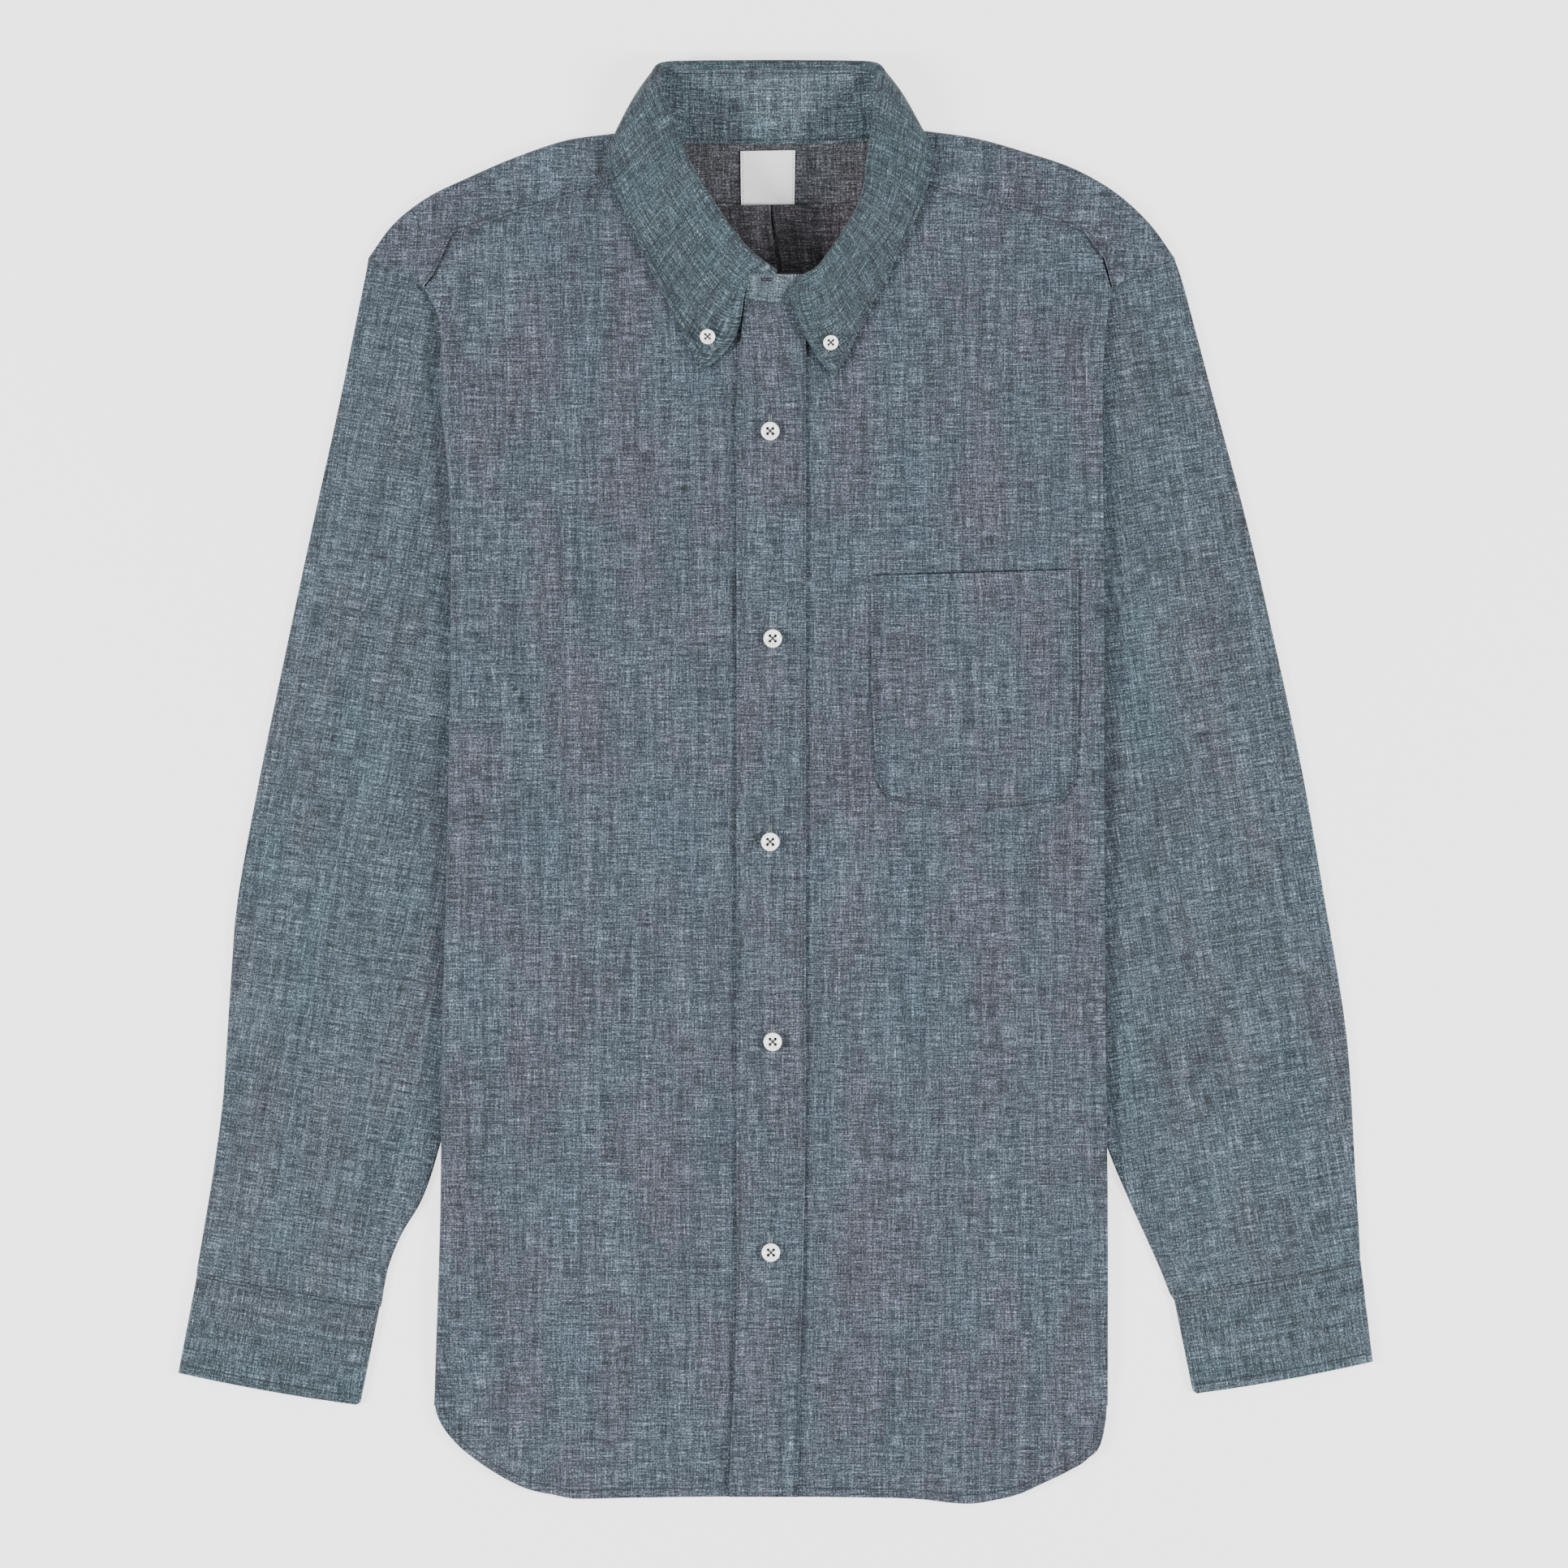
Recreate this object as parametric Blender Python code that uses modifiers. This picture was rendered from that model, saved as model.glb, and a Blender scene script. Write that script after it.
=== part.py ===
"""A long-sleeved chambray work shirt with a button-down collar, buttoned up and laid flat.

The shirt lies on its back on a level surface. Its sides are tucked under, so each front
panel turns round a fold and runs back below itself to the armhole and the side seam. Each
sleeve is a flattened tube that starts at that armhole and comes out from under the body.

Frame: metres, +Z up, +Y from the hem to the collar, +X towards the wearer's left.
"right" and "left" are the wearer's own. Tables are in millimetres. On a side's table "out"
is the distance from the centre line, whichever side it is on.
"""

import itertools
import math
from typing import NamedTuple

import bmesh
import bpy
import numpy as np
from mathutils import Matrix, Vector

MM = 0.001
SIDES = {"right": -1.0, "left": 1.0}

# Cloth walls and the clearances between them
PANEL = 1.0
BAND = 1.5
SEAM = 0.4
LAP = 0.3
CLOTH_TURN = 0.8

# Heights of the middle of each layer over the surface
FLOOR_LAYER = PANEL / 2
SLEEVE_TOP = 2.6
RETURN_OVER_SLEEVE = SLEEVE_TOP + PANEL + LAP
RETURN_ON_BACK = FLOOR_LAYER + PANEL + LAP
FRONT_CENTRE = 5.3
FRONT_TURN = 1.65
CORNER_TURN = 0.8
NECK_RISE = 3.2
NECK_CENTRE = (-3.7, 328.0)
NECK_REACH = (60.0, 120.0)
SIDE_REACH = 55.0
CORNER_FROM = 240.0
CORNER_RAMP = 40.0

# How full the sleeves are, beyond the body that lies on them
SLEEVE_PUFF = 2.6
PUFF_FROM = 34.0
PUFF_RAMP = 30.0
PUFF_RIM = 0.22
SLEEVE_SHARES = (0.0, 0.11, 0.22, 0.38, 0.58, 0.79, 1.0)
TURN_SHARES = (0.33, 0.67)
SLEEVE_ROWS = 18
END_BLEND = 8

# The front's returned part, which steps down off the sleeve onto the back
SLEEVE_CLEAR = 12.0
RETURN_SLOPE = 0.35
RETURN_STEP = 8.0
RETURN_LEAST = 4.0
STATION_LEAST = 1.2

# Buttons
BUTTON_R = 5.2
COLLAR_BUTTON_R = 4.3
BUTTON_THICK = 2.4
BUTTON_HOLE_R = 0.75
BUTTON_HOLE_PITCH = 3.0
BUTTON_STEPS = 20
BUTTON_SMOOTH = 35

# Cuffs
CUFF_RISE = 0.6
CUFF_CROWN = 1.4
CUFF_BOW = 1.1
CUFF_ROUND = 2.0
CUFF_ROUND_FROM = 0.96

CLOTH_COLOUR = (0.105, 0.150, 0.172)
COLLAR_COLOUR = (0.090, 0.145, 0.160)
LABEL_COLOUR = (0.80, 0.80, 0.78)
BUTTON_COLOUR = (0.76, 0.75, 0.71)


class Edge(NamedTuple):
    """Distance out from the centre line on each side, at one height up the shirt."""
    y: float
    right: float
    left: float


class Corner(NamedTuple):
    """A corner of the armhole seam, with how far along the sleeve's end it comes."""
    name: str
    along: float
    right: float
    left: float
    y: float


class Hem(NamedTuple):
    """Height of the curved hem at a fraction of the half width."""
    fraction: float
    right: float
    left: float


class Wing(NamedTuple):
    """One section over the shoulder: front seam, shoulder fold and how high the fold is."""
    name: str
    seam_out: float
    seam_y: float
    fold_out: float
    fold_y: float
    rise: float


class Neck(NamedTuple):
    """One section round the collar, from the neck seam over the roll to the free edge."""
    name: str
    neck_out: float
    neck_y: float
    neck_z: float
    roll_out: float
    roll_y: float
    roll_z: float
    edge_out: float
    edge_y: float
    edge_z: float
    bow_out: float
    bow_y: float


class Strip(NamedTuple):
    """The two edges of the placket at one height, measured towards the wearer's left."""
    y: float
    inner: float
    outer: float


class StandEnd(NamedTuple):
    """A front end of the collar stand: its lower corner, then its upper corner."""
    out: float
    y: float
    z: float
    top_out: float
    top_y: float
    top_z: float


class Cuff(NamedTuple):
    """Corners of a laid cuff."""
    top_outer: tuple
    top_inner: tuple
    low_outer: tuple
    low_inner: tuple


BODY_FOLD = (
    Edge(280.5, 199.6, 190.4),
    Edge(264.0, 191.2, 187.7),
    Edge(222.5, 190.4, 184.9),
    Edge(167.5, 185.0, 185.3),
    Edge(103.0, 184.0, 185.8),
    Edge(0.0, 185.4, 185.8),
    Edge(-155.0, 189.1, 186.8),
    Edge(-237.5, 190.0, 188.0),
    Edge(-353.0, 193.7, 188.1),
)
SHOULDER_EDGE = (
    Edge(315.0, 181.0, 174.0),
    Edge(311.4, 183.1, 174.3),
    Edge(288.0, 193.7, 189.0),
    Edge(280.5, 199.6, 190.4),
)
SLEEVE_OUTER = (
    Edge(297.0, 231.0, 226.0),
    Edge(287.0, 232.8, 229.5),
    Edge(259.5, 238.3, 236.9),
    Edge(222.5, 245.6, 246.6),
    Edge(149.0, 261.7, 266.3),
    Edge(75.5, 277.4, 283.4),
    Edge(2.0, 292.6, 299.0),
    Edge(-72.0, 305.7, 311.9),
    Edge(-108.5, 308.6, 318.3),
    Edge(-145.5, 311.0, 323.6),
    Edge(-182.0, 313.6, 326.3),
    Edge(-219.0, 318.6, 328.2),
    Edge(-255.5, 324.6, 330.5),
    Edge(-279.0, 328.6, 331.5),
)
SLEEVE_INNER = (
    Edge(73.0, 122.4, 121.0),
    Edge(-65.0, 155.8, 153.5),
    Edge(-203.0, 189.5, 186.4),
    Edge(-237.5, 201.0, 200.4),
    Edge(-256.0, 212.0, 208.8),
    Edge(-274.0, 219.2, 216.9),
    Edge(-297.0, 223.6, 226.0),
)
ARMHOLE = (
    Corner("shoulder point", 0.00, 231.0, 226.0, 297.0),
    Corner("end of yoke", 0.22, 199.6, 190.4, 280.5),
    Corner("under the fold", 0.38, 170.7, 169.5, 245.5),
    Corner("armpit", 1.00, 122.4, 121.0, 73.0),
)
SIDE_SEAM_FOOT = Edge(-366.0, 163.0, 162.0)
HEM = (
    Hem(-0.10, -404.3, -404.3),
    Hem(0.20, -404.4, -404.6),
    Hem(0.42, -404.9, -405.6),
    Hem(0.58, -405.6, -408.4),
    Hem(0.65, -403.3, -406.6),
    Hem(0.73, -399.8, -403.0),
    Hem(0.80, -393.3, -397.2),
    Hem(0.88, -383.2, -390.0),
    Hem(0.94, -373.3, -382.8),
    Hem(0.985, -361.0, -370.5),
    Hem(1.00, -353.0, -353.0),
)
NECKLINE = {
    "right": ((-12.4, 271.4), (14.3, 271.9), (34.0, 282.0), (51.8, 302.0), (64.9, 324.8)),
    "left": ((14.7, 271.4), (20.2, 273.2), (34.5, 285.5), (49.7, 304.1), (59.3, 322.9)),
}
WINGS = {
    "right": (
        Wing("neck", 73.1, 345.9, 73.1, 370.8, 8.0),
        Wing("collar edge", 92.0, 339.9, 92.0, 367.5, 7.4),
        Wing("inner shoulder", 117.8, 331.7, 117.8, 363.9, 6.4),
        Wing("mid shoulder", 145.4, 323.4, 145.4, 354.9, 5.4),
        Wing("outer shoulder", 170.7, 314.6, 175.3, 342.2, 4.6),
        Wing("shoulder turn", 183.1, 311.4, 197.8, 331.2, 4.0),
        Wing("shoulder drop", 193.7, 288.0, 216.7, 316.3, 3.5),
        Wing("armhole", 199.6, 280.5, 231.0, 297.0, SLEEVE_TOP),
    ),
    "left": (
        Wing("neck", 66.0, 345.0, 66.2, 370.8, 8.0),
        Wing("collar edge", 85.6, 338.6, 87.0, 368.6, 7.4),
        Wing("inner shoulder", 107.6, 331.7, 112.2, 365.0, 6.4),
        Wing("mid shoulder", 130.6, 324.8, 140.8, 357.2, 5.4),
        Wing("outer shoulder", 158.2, 318.0, 169.7, 347.3, 4.6),
        Wing("shoulder turn", 174.3, 312.0, 192.7, 334.0, 4.0),
        Wing("shoulder drop", 186.0, 296.0, 212.6, 315.6, 3.5),
        Wing("armhole", 190.4, 280.5, 226.0, 297.0, SLEEVE_TOP),
    ),
}
BACK_NECK = {"right": (54.3, 364.3), "left": (48.8, 364.3)}
BACK_NECK_Y = 363.9
NECK_SHARE = 0.78
YOKE_KNEE = {"right": (48.8, 326.6), "left": (43.2, 326.6)}
PLEAT_X = -1.0
PLEAT_DEPTH = 14.0
PLEAT_RAMP = 6.0
PLEAT_LEAN = 1.5
PLEAT_GAP = 0.75
BACK_FOOT = -357.0
BACK_FOOT_MIDDLE = -401.0
BACK_LAP = 4.0
COLLAR = {
    "right": (
        Neck("front end", 14.5, 273.0, 10.1, 5.0, 292.5, 24.0, 40.0, 233.0, 8.2, 21.0, 286.0),
        Neck("point", 23.5, 277.0, 10.1, 12.0, 298.5, 25.0, 48.0, 245.5, 8.3, 32.0, 277.0),
        Neck("lower leaf", 37.5, 286.0, 10.1, 23.5, 311.5, 26.5, 59.0, 266.5, 8.8, 43.5, 292.0),
        Neck("middle leaf", 51.0, 302.0, 10.1, 37.5, 332.5, 28.0, 72.0, 292.5, 9.4, 57.0, 315.0),
        Neck("upper leaf", 63.5, 323.0, 10.1, 50.0, 354.5, 28.0, 85.5, 323.0, 10.0, 70.0, 341.0),
        Neck("neck side", 70.5, 343.0, 10.0, 57.0, 373.5, 26.0, 94.0, 344.5, 10.5, 77.5, 361.5),
        Neck("side front", 72.0, 357.0, 9.8, 64.0, 390.5, 21.5, 95.0, 356.5, 10.5, 82.0, 377.0),
        Neck("side top", 71.5, 366.5, 8.6, 66.5, 398.0, 17.0, 91.5, 365.0, 10.0, 83.5, 384.0),
        Neck("side fold", 70.6, 371.5, 4.4, 66.0, 402.0, 14.0, 85.5, 371.5, 7.0, 81.5, 389.0),
        Neck("side back", 68.5, 368.2, 1.4, 64.0, 405.5, 12.0, 77.5, 376.0, 3.5, 74.5, 393.0),
        Neck("back corner", 61.5, 366.8, 1.2, 59.0, 407.0, 11.0, 66.0, 377.0, 1.4, 64.0, 394.0),
        Neck("back side", 49.0, 365.2, 1.0, 49.0, 407.5, 10.5, 51.0, 375.5, 0.8, 50.0, 393.0),
        Neck("back third", 26.0, 364.5, 1.0, 26.0, 407.8, 10.2, 27.0, 375.0, 0.8, 26.0, 393.0),
    ),
    "left": (
        Neck("front end", 10.0, 273.0, 13.2, 16.5, 285.5, 24.0, 33.5, 229.0, 8.2, 0.5, 272.5),
        Neck("point", 22.5, 277.0, 12.0, 21.5, 290.0, 25.0, 41.0, 242.5, 8.3, 27.0, 266.0),
        Neck("lower leaf", 36.5, 286.0, 10.1, 29.5, 299.5, 26.5, 49.5, 262.0, 8.8, 40.0, 283.0),
        Neck("middle leaf", 49.0, 302.0, 10.1, 39.0, 313.5, 28.0, 60.5, 281.0, 9.4, 51.0, 299.0),
        Neck("upper leaf", 58.5, 321.5, 10.1, 47.5, 330.5, 28.0, 73.5, 307.5, 10.0, 62.5, 321.0),
        Neck("neck side", 65.0, 342.0, 10.0, 51.0, 353.5, 28.0, 85.0, 335.0, 10.5, 70.0, 348.0),
        Neck("side front", 65.0, 357.0, 9.8, 54.5, 376.5, 25.0, 88.0, 356.5, 10.5, 73.0, 370.0),
        Neck("side top", 64.5, 366.5, 8.6, 57.0, 394.5, 18.0, 85.0, 365.0, 10.0, 76.0, 383.0),
        Neck("side fold", 63.7, 371.5, 4.4, 58.0, 401.5, 14.0, 79.0, 371.5, 7.0, 74.5, 389.0),
        Neck("side back", 61.5, 368.2, 1.4, 55.5, 405.5, 12.0, 71.0, 376.0, 3.5, 67.0, 393.0),
        Neck("back corner", 55.0, 366.8, 1.2, 50.5, 407.0, 11.0, 60.0, 377.0, 1.4, 56.0, 394.0),
        Neck("back side", 43.0, 365.2, 1.0, 42.0, 407.5, 10.5, 44.0, 375.5, 0.8, 43.0, 393.0),
        Neck("back third", 20.0, 364.5, 1.0, 20.0, 407.8, 10.2, 20.0, 375.0, 0.8, 20.0, 393.0),
    ),
}
STAND_END = {
    "right": StandEnd(-5.0, 273.0, 10.1, -5.0, 285.5, 19.5),
    "left": StandEnd(-17.0, 272.6, 13.2, -12.5, 283.5, 22.5),
}
ROLL_R = 1.9
FALL_SEAM = 5.0
LEAF_SINK = 0.55
PLACKET = (
    Strip(272.0, -17.6, 17.0),
    Strip(250.0, -20.0, 17.0),
    Strip(227.0, -21.6, 17.0),
    Strip(200.0, -22.4, 17.0),
    Strip(100.0, -22.1, 17.0),
    Strip(-155.0, -22.1, 17.0),
    Strip(-274.0, -22.1, 15.4),
    Strip(-330.0, -23.0, 13.8),
    Strip(-387.0, -26.0, 12.6),
    Strip(-404.4, -26.2, 12.4),
)
FLARE_FROM = 0.7
FRONT_ROWS = (0.0, 0.03, 0.06) + tuple(0.1 + 0.86 * k / 18 for k in range(19)) + (1.0,)
FRONT_INNER = {"right": (-12.4, -9.0), "left": (14.7, 10.2)}
POCKET = (
    Strip(118.6, 54.0, 171.0),
    Strip(50.0, 54.2, 171.4),
    Strip(1.5, 57.0, 170.0),
    Strip(-5.0, 60.5, 166.5),
    Strip(-11.0, 66.0, 161.5),
)
POCKET_DROOP = 5.0
POCKET_ROWS = (118.6, 84.0, 50.0, 25.0, 1.5, -5.0, -11.0)
POCKET_DROOP_FROM = 25.0
POCKET_DROOP_RAMP = 36.0
POCKET_CLEAR = 0.1
CUFFS = {
    "right": Cuff((327.8, -277.8), (224.3, -296.9), (338.6, -334.4), (235.5, -352.8)),
    "left": Cuff((331.3, -270.8), (225.0, -290.4), (338.2, -328.0), (236.4, -346.4)),
}
LABEL_MIDDLE = (-4.6, 342.6)
LABEL_SIZE = (30.5, 30.5)
BUTTON_PLACES = ((-3.2, 198.7), (-1.8, 81.4), (-3.2, -33.6), (-1.8, -146.7), (-2.8, -265.9))
COLLAR_BUTTON_PLACES = {"right": (-38.6, 252.1), "left": (30.8, 249.3)}


def ease(value):
    """Smooth step from 0 to 1."""
    value = min(1.0, max(0.0, value))
    return value * value * (3.0 - 2.0 * value)


def mix(low, high, share):
    """Point a share of the way from low to high."""
    return low + (high - low) * share


def through(rows, column, y, key="y"):
    """Smooth curve through the rows of a table, read at one value of its key column."""
    stations = np.array([getattr(row, key) for row in rows])
    values = np.array([getattr(row, column) for row in rows])
    if stations[0] > stations[-1]:
        stations, values = stations[::-1], values[::-1]
    y = min(max(y, stations[0]), stations[-1])
    k = int(min(np.searchsorted(stations, y, side="right") - 1, len(stations) - 2))
    slopes = np.diff(values) / np.diff(stations)
    before = slopes[max(k - 1, 0)]
    after = slopes[min(k + 1, len(slopes) - 1)]
    start = (before + slopes[k]) / 2 if before * slopes[k] > 0 else 0.0
    end = (after + slopes[k]) / 2 if after * slopes[k] > 0 else 0.0
    start = slopes[k] if k == 0 else start
    end = slopes[k] if k == len(slopes) - 1 else end
    width = stations[k + 1] - stations[k]
    t = (y - stations[k]) / width
    rise = slopes[k] * width
    bend = width * t * (1 - t) * (start * (1 - t) - end * t)
    return values[k] + rise * t * t * (3 - 2 * t) + bend


def straight(rows, column, y):
    """Straight lines through the rows of a table, whose y runs down."""
    rising = rows[::-1]
    return float(np.interp(y, [row.y for row in rising], [getattr(row, column) for row in rising]))


def body_edge(side, y):
    """Distance from the centre line to the body's visible side at height y."""
    if y > BODY_FOLD[0].y:
        return straight(SHOULDER_EDGE, side, y)
    return through(BODY_FOLD, side, y)


def sleeve_inner(side, y):
    """Distance from the centre line to the sleeve's inner edge at height y."""
    return through(SLEEVE_INNER, side, y) if y < ARMHOLE[-1].y else 0.0


def return_height(side, out, y):
    """Height of the front's returned part: over the sleeve, then down on the back."""
    past_sleeve = sleeve_inner(side, y) - out - SLEEVE_CLEAR
    if y >= ARMHOLE[-1].y:
        return RETURN_OVER_SLEEVE
    return max(RETURN_ON_BACK, RETURN_OVER_SLEEVE - RETURN_SLOPE * max(0.0, past_sleeve))


def turn_radius(y):
    """Radius of the front's side fold, tighter at its top."""
    return mix(FRONT_TURN, CORNER_TURN, ease((y - CORNER_FROM) / CORNER_RAMP))


def fold_height(side, y):
    """Height of the front's top layer where it reaches the side fold."""
    y = min(y, BODY_FOLD[0].y)
    turn = turn_radius(y)
    return return_height(side, body_edge(side, y) - turn, y) + 2 * turn


def body_height(x, y):
    """Height of the middle of the body's top cloth, above the surface it lies on."""
    side = "left" if x > 0 else "right"
    inward = body_edge(side, y) - abs(x)
    from_neck = math.hypot(x - NECK_CENTRE[0], y - NECK_CENTRE[1])
    low, high = NECK_REACH
    neck = NECK_RISE * (1.0 - ease((from_neck - low) / (high - low)))
    at_side = 1.0 - ease(inward / SIDE_REACH)
    return mix(FRONT_CENTRE + neck, fold_height(side, y), at_side)


def fabric(name, colour, roughness=0.9):
    """Principled material in one colour."""
    material = bpy.data.materials.new(name)
    material.use_nodes = True
    shader = material.node_tree.nodes["Principled BSDF"]
    shader.inputs["Base Color"].default_value = (*colour, 1.0)
    shader.inputs["Roughness"].default_value = roughness
    shader.inputs["Metallic"].default_value = 0.0
    return material


def add_object(name, mesh, material, collection):
    """Put a mesh in the shirt's collection under its own name and material."""
    mesh.name = name
    mesh.materials.append(material)
    part = bpy.data.objects.new(name, mesh)
    collection.objects.link(part)
    return part


def cloth(name, columns, rows, place, collection, wall=PANEL, closed=False, skip=None,
          colour=CLOTH_COLOUR):
    """A sheet of cloth: a grid moved onto place(column, row), then given its wall."""
    sheet = bmesh.new()
    across, along = len(columns) - 1, len(rows) - 1
    bmesh.ops.create_grid(sheet, x_segments=across, y_segments=along, size=0.5)
    cut = []
    for face in sheet.faces:
        middle = face.calc_center_median()
        i, j = int((middle.x + 0.5) * across), int((middle.y + 0.5) * along)
        if skip and skip(i, j):
            cut.append(face)
    bmesh.ops.delete(sheet, geom=cut, context="FACES")
    for point in sheet.verts:
        i, j = round((point.co.x + 0.5) * across), round((point.co.y + 0.5) * along)
        point.co = Vector(place(columns[i], rows[j])) * MM
    if closed:
        bmesh.ops.remove_doubles(sheet, verts=sheet.verts, dist=1e-6)
    mesh = bpy.data.meshes.new(name)
    sheet.to_mesh(mesh)
    sheet.free()
    part = add_object(name, mesh, fabric(name, colour), collection)
    solid = part.modifiers.new("wall", "SOLIDIFY")
    solid.thickness = wall * MM
    solid.offset = 0.0
    return part


def moved_line(points, distance):
    """Move a plan line sideways to its right hand, keeping its corners."""
    moved = []
    for k, point in enumerate(points):
        before = Vector(points[max(k - 1, 0)][:2])
        after = Vector(points[min(k + 1, len(points) - 1)][:2])
        here = Vector(point[:2])
        first = (here - before).normalized() if k else (after - here).normalized()
        second = (after - here).normalized() if k < len(points) - 1 else first
        normal = Vector((first.y + second.y, -first.x - second.x)).normalized()
        stretch = distance / max(0.5, normal.dot(Vector((first.y, -first.x))))
        moved.append((here.x + normal.x * stretch, here.y + normal.y * stretch))
    return moved


def tube_turn(outer, inner, edge, share, top, floor, wall):
    """Point of a flattened tube's rounded edge, a share of the way round the turn."""
    across = (Vector(inner) - Vector(outer)).normalized()
    turn = (top - floor) / 2
    angle = math.pi * share
    reach = turn + wall / 2 - turn * math.sin(angle)
    lift = math.cos(angle) * turn
    if edge == "inner":
        return Vector(inner) - across * reach, (top + floor) / 2 + lift
    return Vector(outer) + across * reach, (top + floor) / 2 - lift


def tube_stations(flat, turn):
    """Stations round a flattened tube: top wall, inner turn, floor wall, outer turn."""
    ring = [("top", share) for share in flat] + [("inner", share) for share in turn]
    ring += [("floor", share) for share in reversed(flat)] + [("outer", share) for share in turn]
    return ring + [("top", flat[0])]


def armhole_line(side):
    """The armhole seam in plan, from the shoulder point to the armpit."""
    return [(getattr(corner, side), corner.y) for corner in ARMHOLE]


def sleeve_end_line(side):
    """The sleeve's end, beside the armhole seam."""
    return moved_line(armhole_line(side), -SEAM)


def sleeve_edges(side, v):
    """Outer and inner edge of the sleeve at a share v of its length."""
    cuff = CUFFS[side]
    end = sleeve_end_line(side)
    outer_y = mix(end[0][1], cuff.top_outer[1] + SEAM, v)
    inner_y = mix(end[-1][1], cuff.top_inner[1] + SEAM, v)
    near_end = 1.0 - min(1.0, v * END_BLEND)
    outer_shift = near_end * (end[0][0] - getattr(SLEEVE_OUTER[0], side))
    inner_shift = near_end * (end[-1][0] - getattr(SLEEVE_INNER[0], side))
    outer = (through(SLEEVE_OUTER, side, outer_y) + outer_shift, outer_y)
    inner = (through(SLEEVE_INNER, side, inner_y) + inner_shift, inner_y)
    return outer, inner


def sleeve_plan(side, u, v):
    """Plan position in the sleeve: u across from its outer edge, v along to the cuff."""
    outer, inner = sleeve_edges(side, v)
    end = sleeve_end_line(side)
    along = [corner.along for corner in ARMHOLE]
    end_out = np.interp(u, along, [p[0] for p in end])
    end_y = np.interp(u, along, [p[1] for p in end])
    out = mix(outer[0], inner[0], u) + (1 - v) * (end_out - mix(end[0][0], end[-1][0], u))
    y = mix(outer[1], inner[1], u) + (1 - v) * (end_y - mix(end[0][1], end[-1][1], u))
    return out, y


def sleeve_top(side, out, y, u):
    """Height of the sleeve's top wall: level below the body, a little full beside it."""
    clear = ease((out - body_edge(side, y) - PUFF_FROM) / PUFF_RAMP)
    rim = ease(u / PUFF_RIM)
    below_end = ease((ARMHOLE[0].y - y) / PUFF_RAMP)
    return SLEEVE_TOP + SLEEVE_PUFF * clear * rim * below_end


def make_sleeve(side, collection):
    """The sleeve as a flattened tube, open at the armhole and at the cuff."""
    sign = SIDES[side]
    ring = tube_stations(SLEEVE_SHARES, TURN_SHARES)
    rows = [k / SLEEVE_ROWS for k in range(SLEEVE_ROWS + 1)]
    inset = (SLEEVE_TOP - FLOOR_LAYER + PANEL) / 2

    def place(station, v):
        part, share = station
        outer, inner = sleeve_edges(side, v)
        width = math.dist(inner, outer)
        if part in ("top", "floor"):
            u = mix(inset / width, 1 - inset / width, share) if share in (0.0, 1.0) else share
            out, y = sleeve_plan(side, u, v)
            z = sleeve_top(side, out, y, u) if part == "top" else FLOOR_LAYER
        else:
            ends = sleeve_plan(side, 0.0, v), sleeve_plan(side, 1.0, v)
            (out, y), z = tube_turn(*ends, part, share, SLEEVE_TOP, FLOOR_LAYER, PANEL)
        return sign * out, y, z

    return cloth("sleeve_" + side, ring, rows, place, collection, closed=True)


def make_cuff(side, collection):
    """The buttoned cuff, a flat band round the end of the sleeve."""
    sign, cuff = SIDES[side], CUFFS[side]
    ring = tube_stations((0.0, 0.25, 0.5, 0.75, 1.0), (0.5,))
    rows = (0.0, 0.33, 0.67, CUFF_ROUND_FROM, 1.0)
    floor, rim = BAND / 2, SLEEVE_TOP + CUFF_RISE

    def place(station, v):
        part, share = station
        outer = Vector(cuff.top_outer).lerp(Vector(cuff.low_outer), v)
        inner = Vector(cuff.top_inner).lerp(Vector(cuff.low_inner), v)
        across = (inner - outer).normalized()
        if v > CUFF_ROUND_FROM:
            inner = inner - across * CUFF_ROUND
        if part in ("inner", "outer"):
            here, z = tube_turn(outer, inner, part, share, rim, floor, BAND)
            return sign * here.x, here.y, z
        inset = (rim - floor + BAND) / 2 / (inner - outer).length
        sag = CUFF_BOW * 4 * share * (1 - share)
        here = outer.lerp(inner, mix(inset, 1 - inset, share)) + Vector((-across.y, across.x)) * sag
        z = rim + CUFF_CROWN * math.sin(math.pi * share) if part == "top" else floor
        return sign * here.x, here.y, z

    return cloth("cuff_" + side, ring, rows, place, collection, wall=BAND, closed=True)


def front_top(side):
    """The front's top edge in plan: neckline, then the yoke seam out to the armhole."""
    seam = [(wing.seam_out, wing.seam_y) for wing in WINGS[side]]
    return moved_line(list(NECKLINE[side]) + seam, SEAM)


def hem_height(side, fraction):
    """Height of the front's hem at a fraction of the half width."""
    return through(HEM, side, fraction, key="fraction")


def front_plan(side, station, v):
    """Plan position on a front's top layer, from the centre edge to the side fold."""
    top = front_top(side)
    first, last = top[0], top[-1]
    out, y = top[station]
    share = (out - first[0]) / (last[0] - first[0])
    fold_y = mix(last[1], BODY_FOLD[-1].y, v)
    inset = turn_radius(fold_y) + PANEL / 2
    inner_top, inner_low = FRONT_INNER[side]
    toward_hem = ease((v - FLARE_FROM) / (1.0 - FLARE_FROM))
    inner = (mix(inner_top, inner_low, toward_hem), mix(first[1], HEM[0].right, v))
    fold = (body_edge(side, fold_y) - inset, fold_y)
    hem_out = mix(inner_low, body_edge(side, BODY_FOLD[-1].y) - inset, share)
    hem_y = hem_height(side, hem_out / body_edge(side, BODY_FOLD[-1].y))
    line_out = mix(inner[0], fold[0], share)
    line_y = mix(inner[1], fold[1], share)
    top_out = out - mix(first[0], last[0], share)
    top_y = y - mix(first[1], last[1], share)
    low_y = hem_y - mix(HEM[0].right, BODY_FOLD[-1].y, share)
    return line_out + top_out * (1 - v), line_y + top_y * (1 - v) + low_y * v


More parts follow.
